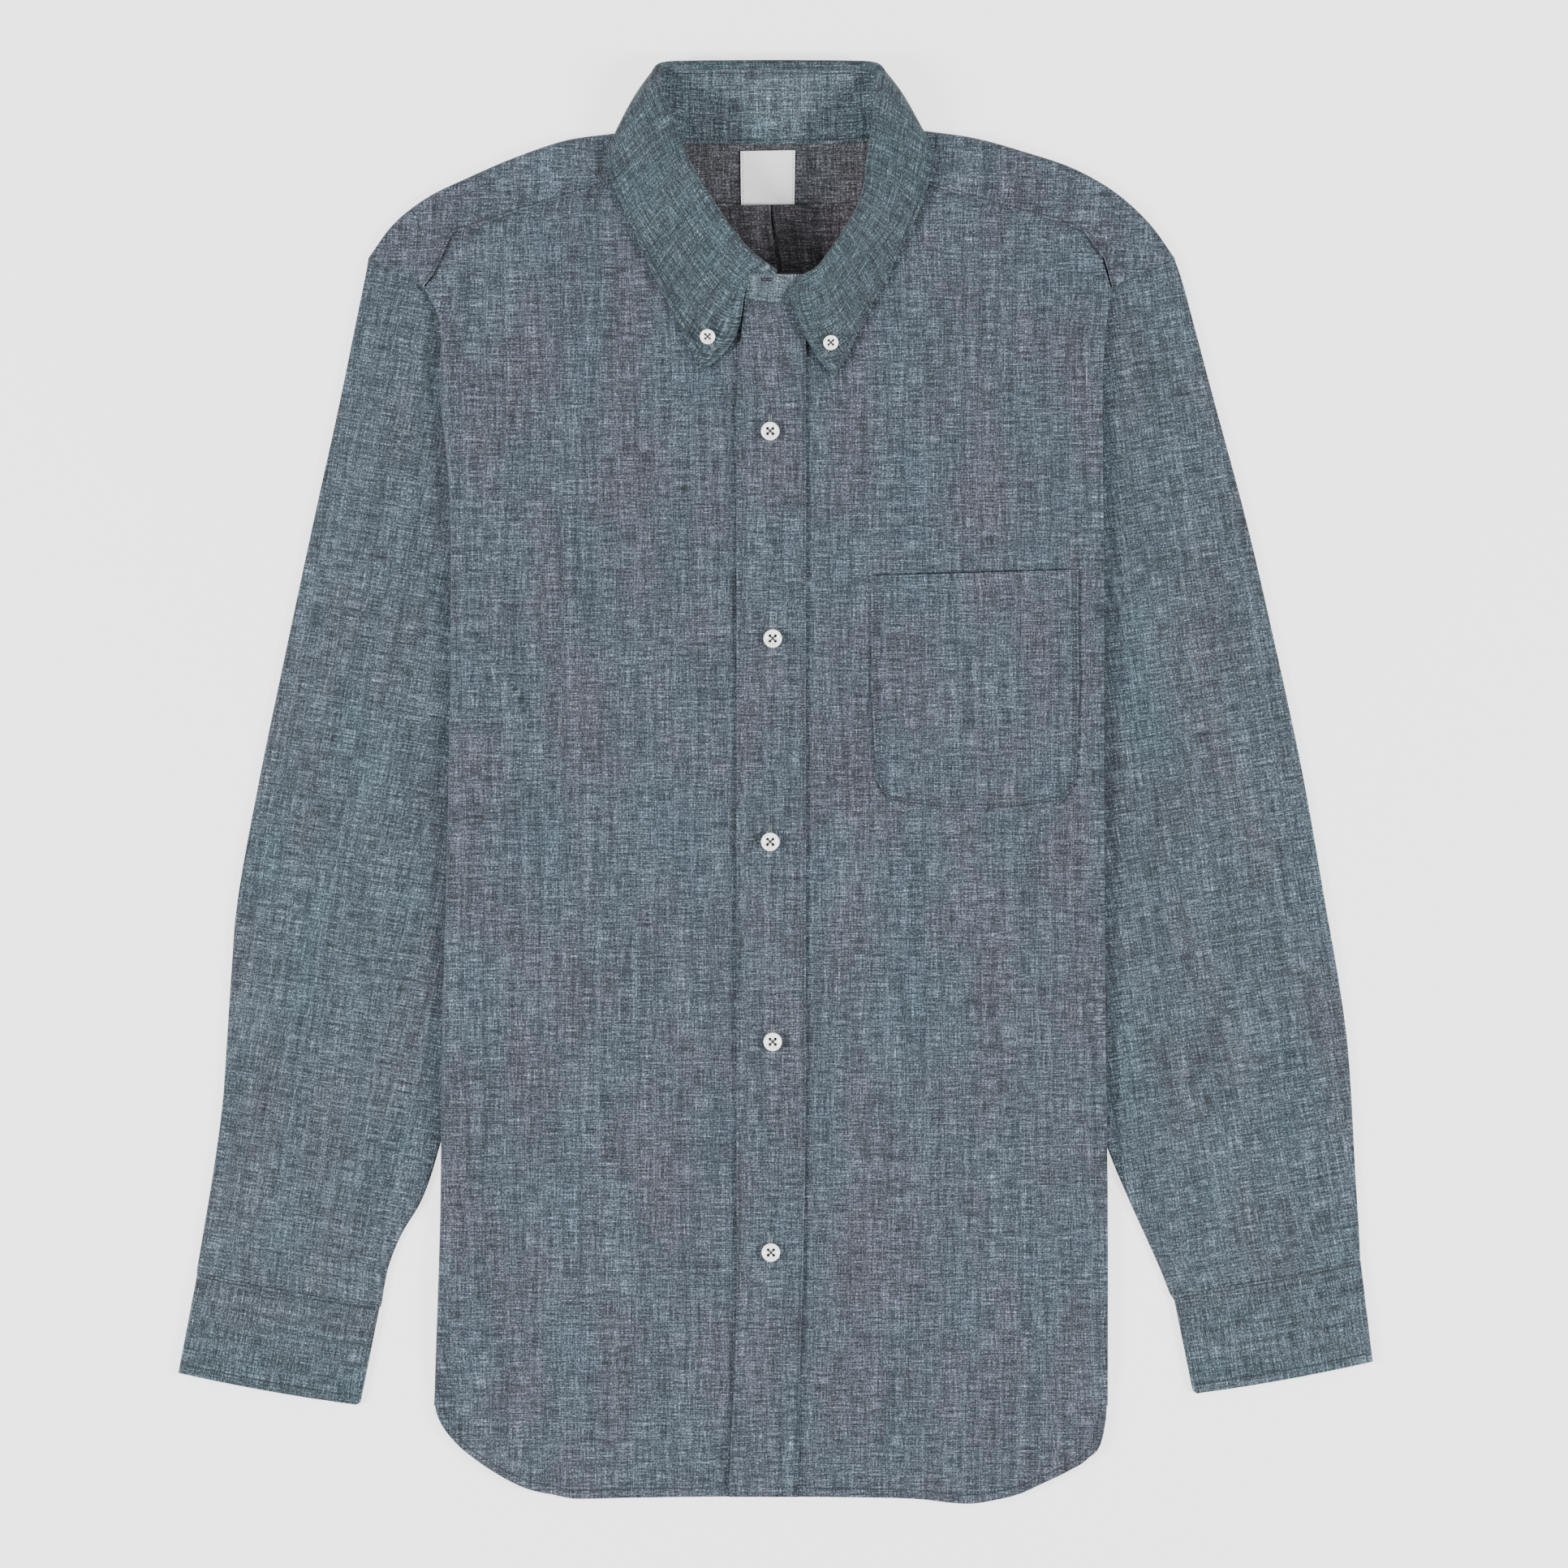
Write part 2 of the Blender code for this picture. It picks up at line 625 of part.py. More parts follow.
def seam_out(side, y):
    """Distance out to the front's hidden edge: the armhole, then the side seam."""
    rows = [(getattr(SIDE_SEAM_FOOT, side), SIDE_SEAM_FOOT.y)] + armhole_line(side)[:0:-1]
    return float(np.interp(y, [r[1] for r in rows], [r[0] for r in rows]))


def make_front(side, collection):
    """A front panel: top layer, side fold, and the part returned to the side seam."""
    sign = SIDES[side]
    count = len(front_top(side))
    columns = [("top", k) for k in range(count)] + [("turn", k) for k in TURN_SHARES]
    columns += [("under", step) for step in ("start", "knee", "foot", "end")]

    def place(column, v):
        part, value = column
        fold_y = mix(front_top(side)[-1][1], BODY_FOLD[-1].y, v)
        turn = turn_radius(fold_y)
        edge = body_edge(side, fold_y)
        if part == "top":
            out, y = front_plan(side, value, v)
            return sign * out, y, body_height(sign * out, y)
        low = return_height(side, edge - turn, fold_y)
        start = edge - turn - PANEL / 2
        if part == "turn":
            angle = math.pi * value
            return (sign * (start + turn * math.sin(angle)), fold_y,
                    low + turn + turn * math.cos(angle))
        drop = 0.0 if value == "start" else (SIDE_SEAM_FOOT.y - BODY_FOLD[-1].y) * ease(v)
        y = fold_y + drop
        end = min(seam_out(side, y), start - RETURN_LEAST)
        step = sleeve_inner(side, y) - SLEEVE_CLEAR
        knee = min(max(step, end + 2 * STATION_LEAST), start - STATION_LEAST)
        foot = min(max(step - RETURN_STEP, end + STATION_LEAST), knee - STATION_LEAST)
        out = {"start": start, "knee": knee, "foot": foot, "end": end}[value]
        return sign * out, y, return_height(side, out, y)

    return cloth("front_" + side, columns, FRONT_ROWS, place, collection)


def make_yoke(collection):
    """The yoke: on the floor at the back, over each shoulder, and down to the fronts."""
    middle = (0.25, 0.5, 0.75)
    columns = [("right", k) for k in reversed(range(len(WINGS["right"])))]
    columns += [("middle", k) for k in middle]
    columns += [("left", k) for k in range(len(WINGS["left"]))]
    rows = ["back", "half", "neck", "under", 0.25, 0.5, 0.75, "over", "upper", "lower", "seam"]
    neck_row = rows.index("neck")
    first_middle = len(WINGS["right"]) - 1
    back_rows = {"back": 0.0, "half": 0.42, "neck": NECK_SHARE}
    front_rows = {"over": 0.0, "upper": 0.3, "lower": 0.65, "seam": 1.0}

    def place(column, row):
        side, k = column
        if side == "middle":
            right, left = YOKE_KNEE["right"], YOKE_KNEE["left"]
            low = (mix(-right[0], left[0], k), right[1])
            right, left = BACK_NECK["right"], BACK_NECK["left"]
            high = (mix(-right[0], left[0], k), BACK_NECK_Y)
            share = {"back": 0.0, "half": 0.5}.get(row, 1.0)
            return mix(low[0], high[0], share), mix(low[1], high[1], share), FLOOR_LAYER
        sign, wing, first, last = SIDES[side], WINGS[side][k], WINGS[side][0], WINGS[side][-1]
        span = (wing.fold_out - first.fold_out) / (last.fold_out - first.fold_out)
        knee = YOKE_KNEE[side]
        back = (mix(knee[0], last.seam_out, span), mix(knee[1], last.seam_y, span))
        fold = (wing.fold_out, wing.fold_y)
        turn = (wing.rise - FLOOR_LAYER) / 2
        lean = Vector((wing.seam_out - fold[0], wing.seam_y - fold[1])).normalized()
        start = Vector(fold) + lean * (turn + PANEL / 2)
        if row in back_rows:
            spot = Vector(back).lerp(start, back_rows[row])
            if k == 0:
                spot = Vector(back).lerp(Vector(BACK_NECK[side]), back_rows[row] / NECK_SHARE)
            return sign * spot.x, spot.y, FLOOR_LAYER
        if row == "under":
            return sign * start.x, start.y, FLOOR_LAYER
        if isinstance(row, float):
            spot = start - lean * turn * math.sin(math.pi * row)
            return sign * spot.x, spot.y, FLOOR_LAYER + turn - turn * math.cos(math.pi * row)
        end = Vector((wing.seam_out, wing.seam_y))
        spot = start.lerp(end, front_rows[row])
        target = body_height(sign * end.x, end.y)
        if wing is last:
            target = mix(SLEEVE_TOP, target, 0.5)
        return sign * spot.x, spot.y, mix(wing.rise, target, ease(front_rows[row]))

    def skip(i, j):
        return j >= neck_row and first_middle <= i < first_middle + len(middle) + 1

    return cloth("yoke", columns, rows, place, collection, skip=skip)


def pleat_stations():
    """Across the box pleat: out from the centre line, and height, folded three deep."""
    low, middle, top = (FLOOR_LAYER + 2 * CLOTH_TURN * layer for layer in range(3))
    return (
        (PLEAT_DEPTH + CLOTH_TURN + PLEAT_RAMP, low),
        (PLEAT_DEPTH + CLOTH_TURN + PLEAT_LEAN, top),
        (CLOTH_TURN + PLEAT_GAP, top),
        (PLEAT_GAP, top - CLOTH_TURN),
        (CLOTH_TURN + PLEAT_GAP, middle),
        (PLEAT_DEPTH - CLOTH_TURN, middle),
        (PLEAT_DEPTH, middle - CLOTH_TURN),
        (PLEAT_DEPTH - CLOTH_TURN, low),
    )


def make_back(collection):
    """The back panel on the floor, with its box pleat under the yoke."""
    half = pleat_stations()
    columns = [("right", k) for k in (1.0, 0.66, 0.33, 0.0)]
    columns += [("pleat", (-out, z)) for out, z in half]
    columns += [("pleat", (out, z)) for out, z in reversed(half)]
    columns += [("left", k) for k in (0.0, 0.33, 0.66, 1.0)]
    top_y = YOKE_KNEE["right"][1] - SEAM
    heights = [ARMHOLE[1].y, ARMHOLE[2].y, 190.0, 130.0, ARMHOLE[3].y]
    heights += [mix(ARMHOLE[3].y, BACK_FOOT, k / 9) for k in range(1, 10)]

    def place(column, side_y):
        part, value = column
        y = mix(top_y, BACK_FOOT_MIDDLE, (heights[0] - side_y) / (heights[0] - BACK_FOOT))
        if part == "pleat":
            out, z = value
            return PLEAT_X + out, y, z
        knee = YOKE_KNEE[part][0]
        edge = seam_out(part, side_y)
        if side_y <= ARMHOLE[3].y:
            edge = min(edge + BACK_LAP, sleeve_inner(part, side_y - SEAM) - PANEL)
        here_y = side_y - (SEAM if side_y == heights[0] else 0.0)
        return SIDES[part] * mix(knee, edge, value), mix(y, here_y, value), FLOOR_LAYER

    return cloth("back", columns, heights, place, collection)


def collar_sections():
    """All collar sections in order, from the wearer's right front round to the left."""
    sections = []
    for side in ("right", "left"):
        rows = COLLAR[side] if side == "right" else tuple(reversed(COLLAR[side]))
        for row in rows:
            sign = SIDES[side]
            sections.append({
                "name": side + " " + row.name,
                "neck": Vector((sign * row.neck_out, row.neck_y, row.neck_z)),
                "roll": Vector((sign * row.roll_out, row.roll_y, row.roll_z)),
                "edge": Vector((sign * row.edge_out, row.edge_y, row.edge_z)),
                "bow": Vector((sign * row.bow_out, row.bow_y, 0.0)),
            })
    return sections


def roll_frame(section):
    """Directions at the roll: up the stand, and out over the fall."""
    up = (section["roll"] - section["neck"]).normalized()
    reach = section["edge"] - section["roll"]
    out = (reach - up * reach.dot(up)).normalized()
    return up, out


def make_stand(collection):
    """The collar stand, from the neck seam up to the fall, its front ends lapped."""
    sections = collar_sections()
    columns = []
    for section in sections:
        up, _ = roll_frame(section)
        columns.append((section["neck"], section["roll"] - up * (FALL_SEAM + 2 * SEAM)))
    for side, near in (("right", columns[0]), ("left", columns[-1])):
        sign, corner = SIDES[side], STAND_END[side]
        end = (Vector((sign * corner.out, corner.y, corner.z)),
               Vector((sign * corner.top_out, corner.top_y, corner.top_z)))
        half = tuple(a.lerp(b, 0.5) for a, b in zip(near, end))
        columns = [end, half] + columns if side == "right" else columns + [half, end]

    def place(column, share):
        low, high = column
        return low.lerp(high, share)

    return cloth("collar_stand", columns, (0.0, 0.5, 1.0), place, collection, wall=BAND,
                 colour=COLLAR_COLOUR)


def fall_point(section, station):
    """Point on the collar fall at one section: stand seam, roll, then the leaf."""
    part, share = station
    up, out = roll_frame(section)
    roll = section["roll"]
    if part == "seam":
        return roll - up * FALL_SEAM
    if part == "roll":
        angle = math.pi * share
        centre = roll - up * ROLL_R + out * ROLL_R
        return centre - out * ROLL_R * math.cos(angle) + up * ROLL_R * math.sin(angle)
    start = roll - up * ROLL_R + out * 2 * ROLL_R
    edge, bow = section["edge"], section["bow"].copy()
    bow.z = mix(start.z, edge.z, LEAF_SINK)
    return start * (1 - share) ** 2 + bow * 2 * share * (1 - share) + edge * share ** 2


FALL_STATIONS = (("seam", 0.0), ("roll", 0.0), ("roll", 0.33), ("roll", 0.67), ("roll", 1.0),
                 ("leaf", 0.3), ("leaf", 0.6), ("leaf", 0.85), ("leaf", 1.0))


def make_fall(collection):
    """The collar fall, rolled over the stand and down to its buttoned points."""
    sections = collar_sections()
    return cloth("collar_fall", FALL_STATIONS, sections,
                 lambda station, section: fall_point(section, station), collection,
                 wall=BAND, colour=COLLAR_COLOUR)


def make_placket(collection):
    """The front band on the wearer's left, lying on both fronts' edges."""
    rows = [PLACKET[0].y, PLACKET[1].y, PLACKET[2].y, PLACKET[3].y]
    rows += [mix(PLACKET[3].y, PLACKET[-1].y, k / 14) for k in range(1, 15)]
    lift = PANEL / 2 + LAP + BAND / 2

    def place(share, y):
        x = mix(through(PLACKET, "inner", y), through(PLACKET, "outer", y), share)
        return x, y, body_height(x, y) + lift

    return cloth("placket", (0.0, 0.5, 1.0), rows, place, collection, wall=BAND)


def make_pocket(collection):
    """The chest pocket, sewn on the wearer's left front."""
    lift = PANEL + LAP + POCKET_CLEAR

    def place(share, y):
        x = mix(straight(POCKET, "inner", y), straight(POCKET, "outer", y), share)
        droop = ease((POCKET_DROOP_FROM - y) / POCKET_DROOP_RAMP) * math.sin(math.pi * share)
        return x, y - POCKET_DROOP * droop, body_height(x, y) + lift

    return cloth("pocket", (0.0, 0.2, 0.4, 0.6, 0.8, 1.0), POCKET_ROWS, place, collection)


def make_label(collection):
    """The woven neck label on the inside of the yoke, left plain."""
    lift = FLOOR_LAYER + PANEL + LAP

    def place(share, along):
        x = LABEL_MIDDLE[0] + (share - 0.5) * LABEL_SIZE[0]
        return x, LABEL_MIDDLE[1] + (0.5 - along) * LABEL_SIZE[1], lift

    return cloth("neck_label", (0.0, 1.0), (0.0, 1.0), place, collection, colour=LABEL_COLOUR)


def button_profile(radius):
    """Half section of a button: raised rim, dished middle, flat underside."""
    thick = BUTTON_THICK
    return ((0.0, 0.62 * thick), (0.52 * radius, 0.62 * thick), (0.72 * radius, thick),
            (0.93 * radius, thick), (radius, 0.6 * thick), (0.86 * radius, 0.0), (0.0, 0.0))


def turned_blank(radius, collection):
    """A button without its holes: its half section turned round its middle."""
    points = [(out * MM, 0.0, z * MM) for out, z in button_profile(radius)]
    mesh = bpy.data.meshes.new("button_blank")
    mesh.from_pydata(points, [(k, k + 1) for k in range(len(points) - 1)], [])
    blank = bpy.data.objects.new("button_blank", mesh)
    collection.objects.link(blank)
    turn = blank.modifiers.new("turn", "SCREW")
    turn.steps = BUTTON_STEPS
    turn.render_steps = BUTTON_STEPS
    turn.use_merge_vertices = True
    turn.merge_threshold = 0.00001
    turn.use_normal_calculate = True
    return blank


def hole_cutter(radius, collection):
    """Four small drills in a square, joined in one cutter."""
    drills = bmesh.new()
    pitch = BUTTON_HOLE_PITCH / 2 * radius / BUTTON_R
    for x, y in ((-pitch, -pitch), (pitch, -pitch), (pitch, pitch), (-pitch, pitch)):
        place = Matrix.Translation((x * MM, y * MM, BUTTON_THICK / 2 * MM))
        bmesh.ops.create_cone(drills, cap_ends=True, segments=6, radius1=BUTTON_HOLE_R * MM,
                              radius2=BUTTON_HOLE_R * MM, depth=3 * BUTTON_THICK * MM,
                              matrix=place)
    mesh = bpy.data.meshes.new("button_drills")
    drills.to_mesh(mesh)
    drills.free()
    cutter = bpy.data.objects.new("button_drills", mesh)
    collection.objects.link(cutter)
    return cutter


def drilled_button(radius, cutters, material):
    """Finished mesh of one size of button, its holes cut through."""
    blank = turned_blank(radius, cutters)
    cutter = hole_cutter(radius, cutters)
    cut = blank.modifiers.new("holes", "BOOLEAN")
    cut.operation = "DIFFERENCE"
    cut.object = cutter
    graph = bpy.context.evaluated_depsgraph_get()
    mesh = bpy.data.meshes.new_from_object(blank.evaluated_get(graph))
    for used in (blank, cutter):
        bpy.data.objects.remove(used, do_unlink=True)
    mesh.materials.append(material)
    mesh.shade_smooth()
    mesh.set_sharp_from_angle(angle=math.radians(BUTTON_SMOOTH))
    return mesh


def make_buttons(collection, cutters):
    """The five buttons that show down the placket, and the two on the collar's points."""
    shell = fabric("button", BUTTON_COLOUR, roughness=0.35)
    plain = drilled_button(BUTTON_R, cutters, shell)
    small = drilled_button(COLLAR_BUTTON_R, cutters, shell)
    buttons = []
    seat = PANEL / 2 + LAP + BAND + LAP
    for number, (x, y) in enumerate(BUTTON_PLACES, start=1):
        button = bpy.data.objects.new(f"button_{number}", plain)
        button.location = Vector((x, y, body_height(x, y) + seat)) * MM
        buttons.append(button)
    for side, (x, y) in COLLAR_BUTTON_PLACES.items():
        point, normal = leaf_seat(x, y)
        button = bpy.data.objects.new("collar_button_" + side, small)
        button.location = (point + normal * (BAND / 2 + 3 * LAP)) * MM
        button.rotation_euler = Vector((0, 0, 1)).rotation_difference(normal).to_euler()
        buttons.append(button)
    for button in buttons:
        collection.objects.link(button)
    return buttons


def leaf_seat(x, y):
    """Nearest point of the collar leaf to a place in plan, and its upward normal."""
    def spot(pair, blend, share):
        first, second = (fall_point(section, ("leaf", share)) for section in pair)
        return first.lerp(second, blend)

    def away(place):
        point = spot(*place)
        return math.hypot(point.x - x, point.y - y)

    side = "left" if x > 0 else "right"
    sections = [section for section in collar_sections() if section["name"] in (
        f"{side} front end", f"{side} point", f"{side} lower leaf", f"{side} middle leaf")]
    pairs = list(zip(sections, sections[1:]))
    blends = [k / 24 for k in range(25)]
    shares = [k / 60 for k in range(20, 61)]
    pair, blend, share = min(itertools.product(pairs, blends, shares), key=away)
    along = spot(pair, 1.0, share) - spot(pair, 0.0, share)
    down = spot(pair, blend, share) - spot(pair, blend, share - 0.02)
    normal = along.cross(down).normalized()
    return spot(pair, blend, share), normal if normal.z > 0 else -normal


def seat_on_origin(parts):
    """Hang every part on one empty, so the shirt's box stands centred on the origin."""
    graph = bpy.context.evaluated_depsgraph_get()
    corners = []
    for part in parts:
        shaped = part.evaluated_get(graph)
        corners += [shaped.matrix_world @ Vector(corner) for corner in shaped.bound_box]
    low = [min(corner[k] for corner in corners) for k in range(3)]
    high = [max(corner[k] for corner in corners) for k in range(3)]
    anchor = bpy.data.objects.new("shirt_origin", None)
    bpy.context.scene.collection.objects.link(anchor)
    anchor.location = (-(low[0] + high[0]) / 2, -(low[1] + high[1]) / 2, -low[2])
    for part in parts:
        part.parent = anchor
    bpy.context.view_layer.update()


def build():
    """Make the whole shirt."""
    for old in list(bpy.data.objects):
        bpy.data.objects.remove(old, do_unlink=True)
    shirt = bpy.data.collections.new("chambray_work_shirt")
    cutters = bpy.data.collections.new("cutters")
    bpy.context.scene.collection.children.link(shirt)
    bpy.context.scene.collection.children.link(cutters)
    parts = [make_back(shirt), make_yoke(shirt)]
    for side in SIDES:
        parts += [make_front(side, shirt), make_sleeve(side, shirt), make_cuff(side, shirt)]
    parts += [make_placket(shirt), make_pocket(shirt), make_label(shirt)]
    parts += [make_stand(shirt), make_fall(shirt)]
    parts += make_buttons(shirt, cutters)
    seat_on_origin(parts)


build()
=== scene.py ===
"""The looks of a long-sleeved chambray work shirt, buttoned up and laid flat on its back.

Each cloth piece is a thin shell on the form of the solid that it replaces, with finer
edges, soft creases, a woven surface and its stitching. Tables are in millimetres, in the
frame of the shirt's centre line. "right" and "left" are the wearer's own, and "out" is the
distance from the centre line on either side.
"""

from __future__ import annotations

import logging
import math
from dataclasses import dataclass, field
from enum import Enum
from typing import NamedTuple, Sequence, Union

import bmesh
import bpy
import numpy as np
from mathutils import Matrix, Vector
from numpy.typing import NDArray


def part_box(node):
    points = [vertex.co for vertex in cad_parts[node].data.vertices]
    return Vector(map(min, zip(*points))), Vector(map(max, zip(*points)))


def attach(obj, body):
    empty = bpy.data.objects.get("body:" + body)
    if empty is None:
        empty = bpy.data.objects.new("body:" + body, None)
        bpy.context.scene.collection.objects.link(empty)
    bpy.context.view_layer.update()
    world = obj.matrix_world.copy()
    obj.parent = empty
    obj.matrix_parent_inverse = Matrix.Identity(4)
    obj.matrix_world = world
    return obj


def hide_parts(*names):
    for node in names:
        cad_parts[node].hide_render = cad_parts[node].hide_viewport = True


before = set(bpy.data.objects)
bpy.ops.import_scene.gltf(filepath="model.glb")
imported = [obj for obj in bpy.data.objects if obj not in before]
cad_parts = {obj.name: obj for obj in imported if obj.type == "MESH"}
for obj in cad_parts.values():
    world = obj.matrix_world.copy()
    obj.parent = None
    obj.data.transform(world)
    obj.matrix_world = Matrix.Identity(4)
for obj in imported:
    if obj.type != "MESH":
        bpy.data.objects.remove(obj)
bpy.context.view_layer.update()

Grid = NDArray[np.float64]
Number = Union[float, Grid]
Colour = tuple[float, float, float]

LOG = logging.getLogger("shirt")
BODY = "root"
MM = 0.001
GRAIN = "grain"

# Long waves of laid cloth: how many, their lean in radians and what their sum is divided by
WAVE_COUNT = 8
WAVE_LEAN = 0.6
WAVE_SUM = 2.4

# First column of the collar's leaf, after its seam and its roll
LEAF_START = 13

# Buttons down the front, and the radius of each kind in metres
PLACKET_BUTTONS = tuple(f"button_{number}" for number in range(1, 6))
PLACKET_RADIUS = 0.0052
COLLAR_RADIUS = 0.0043


class Side(Enum):
    """The wearer's right or left."""
    RIGHT = "right"
    LEFT = "left"

    @property
    def sign(self) -> float:
        """Direction of this side along X."""
        return 1.0 if self is Side.LEFT else -1.0


class Edge(NamedTuple):
    """Distance out from the centre line on each side, at one height up the shirt."""
    y: float
    right: float
    left: float


class Corner(NamedTuple):
    """A corner of the armhole seam, with how far along the sleeve's end it comes."""
    name: str
    along: float
    right: float
    left: float
    y: float


class Hem(NamedTuple):
    """Height of the curved hem at a fraction of the half width."""
    fraction: float
    right: float
    left: float


class Wing(NamedTuple):
    """One section over the shoulder: front seam, shoulder fold and how high the fold is."""
    seam_out: float
    seam_y: float
    fold_out: float
    fold_y: float
    rise: float


class Neck(NamedTuple):
    """One section round the collar, from the neck seam over the roll to the free edge."""
    neck_out: float
    neck_y: float
    neck_z: float
    roll_out: float
    roll_y: float
    roll_z: float
    edge_out: float
    edge_y: float
    edge_z: float
    bow_out: float
    bow_y: float


class Strip(NamedTuple):
    """The two edges of a strip at one height, measured towards the wearer's left."""
    y: float
    inner: float
    outer: float


class Cuff(NamedTuple):
    """Corners of a laid cuff."""
    top_outer: tuple[float, float]
    top_inner: tuple[float, float]
    low_outer: tuple[float, float]
    low_inner: tuple[float, float]


class Crease(NamedTuple):
    """A soft ridge along a line in plan, or a trough where its height is below 0."""
    x: float
    y: float
    to_x: float
    to_y: float
    height: float
    width: float
    lean: float = 0.0
    bow: float = 0.0


BODY_FOLD = (
    Edge(280.5, 199.6, 190.4),
    Edge(264.0, 191.2, 187.7),
    Edge(222.5, 190.4, 184.9),
    Edge(167.5, 185.0, 185.3),
    Edge(103.0, 184.0, 185.8),
    Edge(0.0, 185.4, 185.8),
    Edge(-155.0, 189.1, 186.8),
    Edge(-237.5, 190.0, 188.0),
    Edge(-353.0, 193.7, 188.1),
)
SHOULDER_EDGE = (
    Edge(315.0, 181.0, 174.0),
    Edge(311.4, 183.1, 174.3),
    Edge(288.0, 193.7, 189.0),
    Edge(280.5, 199.6, 190.4),
)
SLEEVE_OUTER = (
    Edge(297.0, 231.0, 226.0),
    Edge(287.0, 232.8, 229.5),
    Edge(259.5, 238.3, 236.9),
    Edge(222.5, 245.6, 246.6),
    Edge(149.0, 261.7, 266.3),
    Edge(75.5, 277.4, 283.4),
    Edge(2.0, 292.6, 299.0),
    Edge(-72.0, 305.7, 311.9),
    Edge(-108.5, 308.6, 318.3),
    Edge(-145.5, 311.0, 323.6),
    Edge(-182.0, 313.6, 326.3),
    Edge(-219.0, 318.6, 328.2),
    Edge(-255.5, 324.6, 330.5),
    Edge(-279.0, 328.6, 331.5),
)
SLEEVE_INNER = (
    Edge(73.0, 122.4, 121.0),
    Edge(-65.0, 155.8, 153.5),
    Edge(-203.0, 189.5, 186.4),
    Edge(-237.5, 201.0, 200.4),
    Edge(-256.0, 212.0, 208.8),
    Edge(-274.0, 219.2, 216.9),
    Edge(-297.0, 223.6, 226.0),
)
ARMHOLE = (
    Corner("shoulder point", 0.00, 231.0, 226.0, 297.0),
    Corner("end of yoke", 0.22, 199.6, 190.4, 280.5),
    Corner("under the fold", 0.38, 170.7, 169.5, 245.5),
    Corner("armpit", 1.00, 122.4, 121.0, 73.0),
)
SIDE_SEAM_FOOT = Edge(-366.0, 163.0, 162.0)
HEM = (
    Hem(-0.10, -404.3, -404.3),
    Hem(0.20, -404.4, -404.6),
    Hem(0.42, -404.9, -405.6),
    Hem(0.58, -405.6, -408.4),
    Hem(0.65, -403.3, -406.6),
    Hem(0.73, -399.8, -403.0),
    Hem(0.80, -393.3, -397.2),
    Hem(0.88, -383.2, -390.0),
    Hem(0.94, -373.3, -382.8),
    Hem(0.985, -361.0, -370.5),
    Hem(1.00, -353.0, -353.0),
)
NECKLINE = {
    Side.RIGHT: ((-12.4, 271.4), (14.3, 271.9), (34.0, 282.0), (51.8, 302.0), (64.9, 324.8)),
    Side.LEFT: ((14.7, 271.4), (20.2, 273.2), (34.5, 285.5), (49.7, 304.1), (59.3, 322.9)),
}
WINGS = {
    Side.RIGHT: (
        Wing(73.1, 345.9, 73.1, 370.8, 8.0),
        Wing(92.0, 339.9, 92.0, 367.5, 7.4),
        Wing(117.8, 331.7, 117.8, 363.9, 6.4),
        Wing(145.4, 323.4, 145.4, 354.9, 5.4),
        Wing(170.7, 314.6, 175.3, 342.2, 4.6),
        Wing(183.1, 311.4, 197.8, 331.2, 4.0),
        Wing(193.7, 288.0, 216.7, 316.3, 3.5),
        Wing(199.6, 280.5, 231.0, 297.0, 2.6),
    ),
    Side.LEFT: (
        Wing(66.0, 345.0, 66.2, 370.8, 8.0),
        Wing(85.6, 338.6, 87.0, 368.6, 7.4),
        Wing(107.6, 331.7, 112.2, 365.0, 6.4),
        Wing(130.6, 324.8, 140.8, 357.2, 5.4),
        Wing(158.2, 318.0, 169.7, 347.3, 4.6),
        Wing(174.3, 312.0, 192.7, 334.0, 4.0),
        Wing(186.0, 296.0, 212.6, 315.6, 3.5),
        Wing(190.4, 280.5, 226.0, 297.0, 2.6),
    ),
}
BACK_NECK = {Side.RIGHT: (54.3, 364.3), Side.LEFT: (48.8, 364.3)}
BACK_NECK_Y = 363.9
YOKE_KNEE = {Side.RIGHT: (48.8, 326.6), Side.LEFT: (43.2, 326.6)}
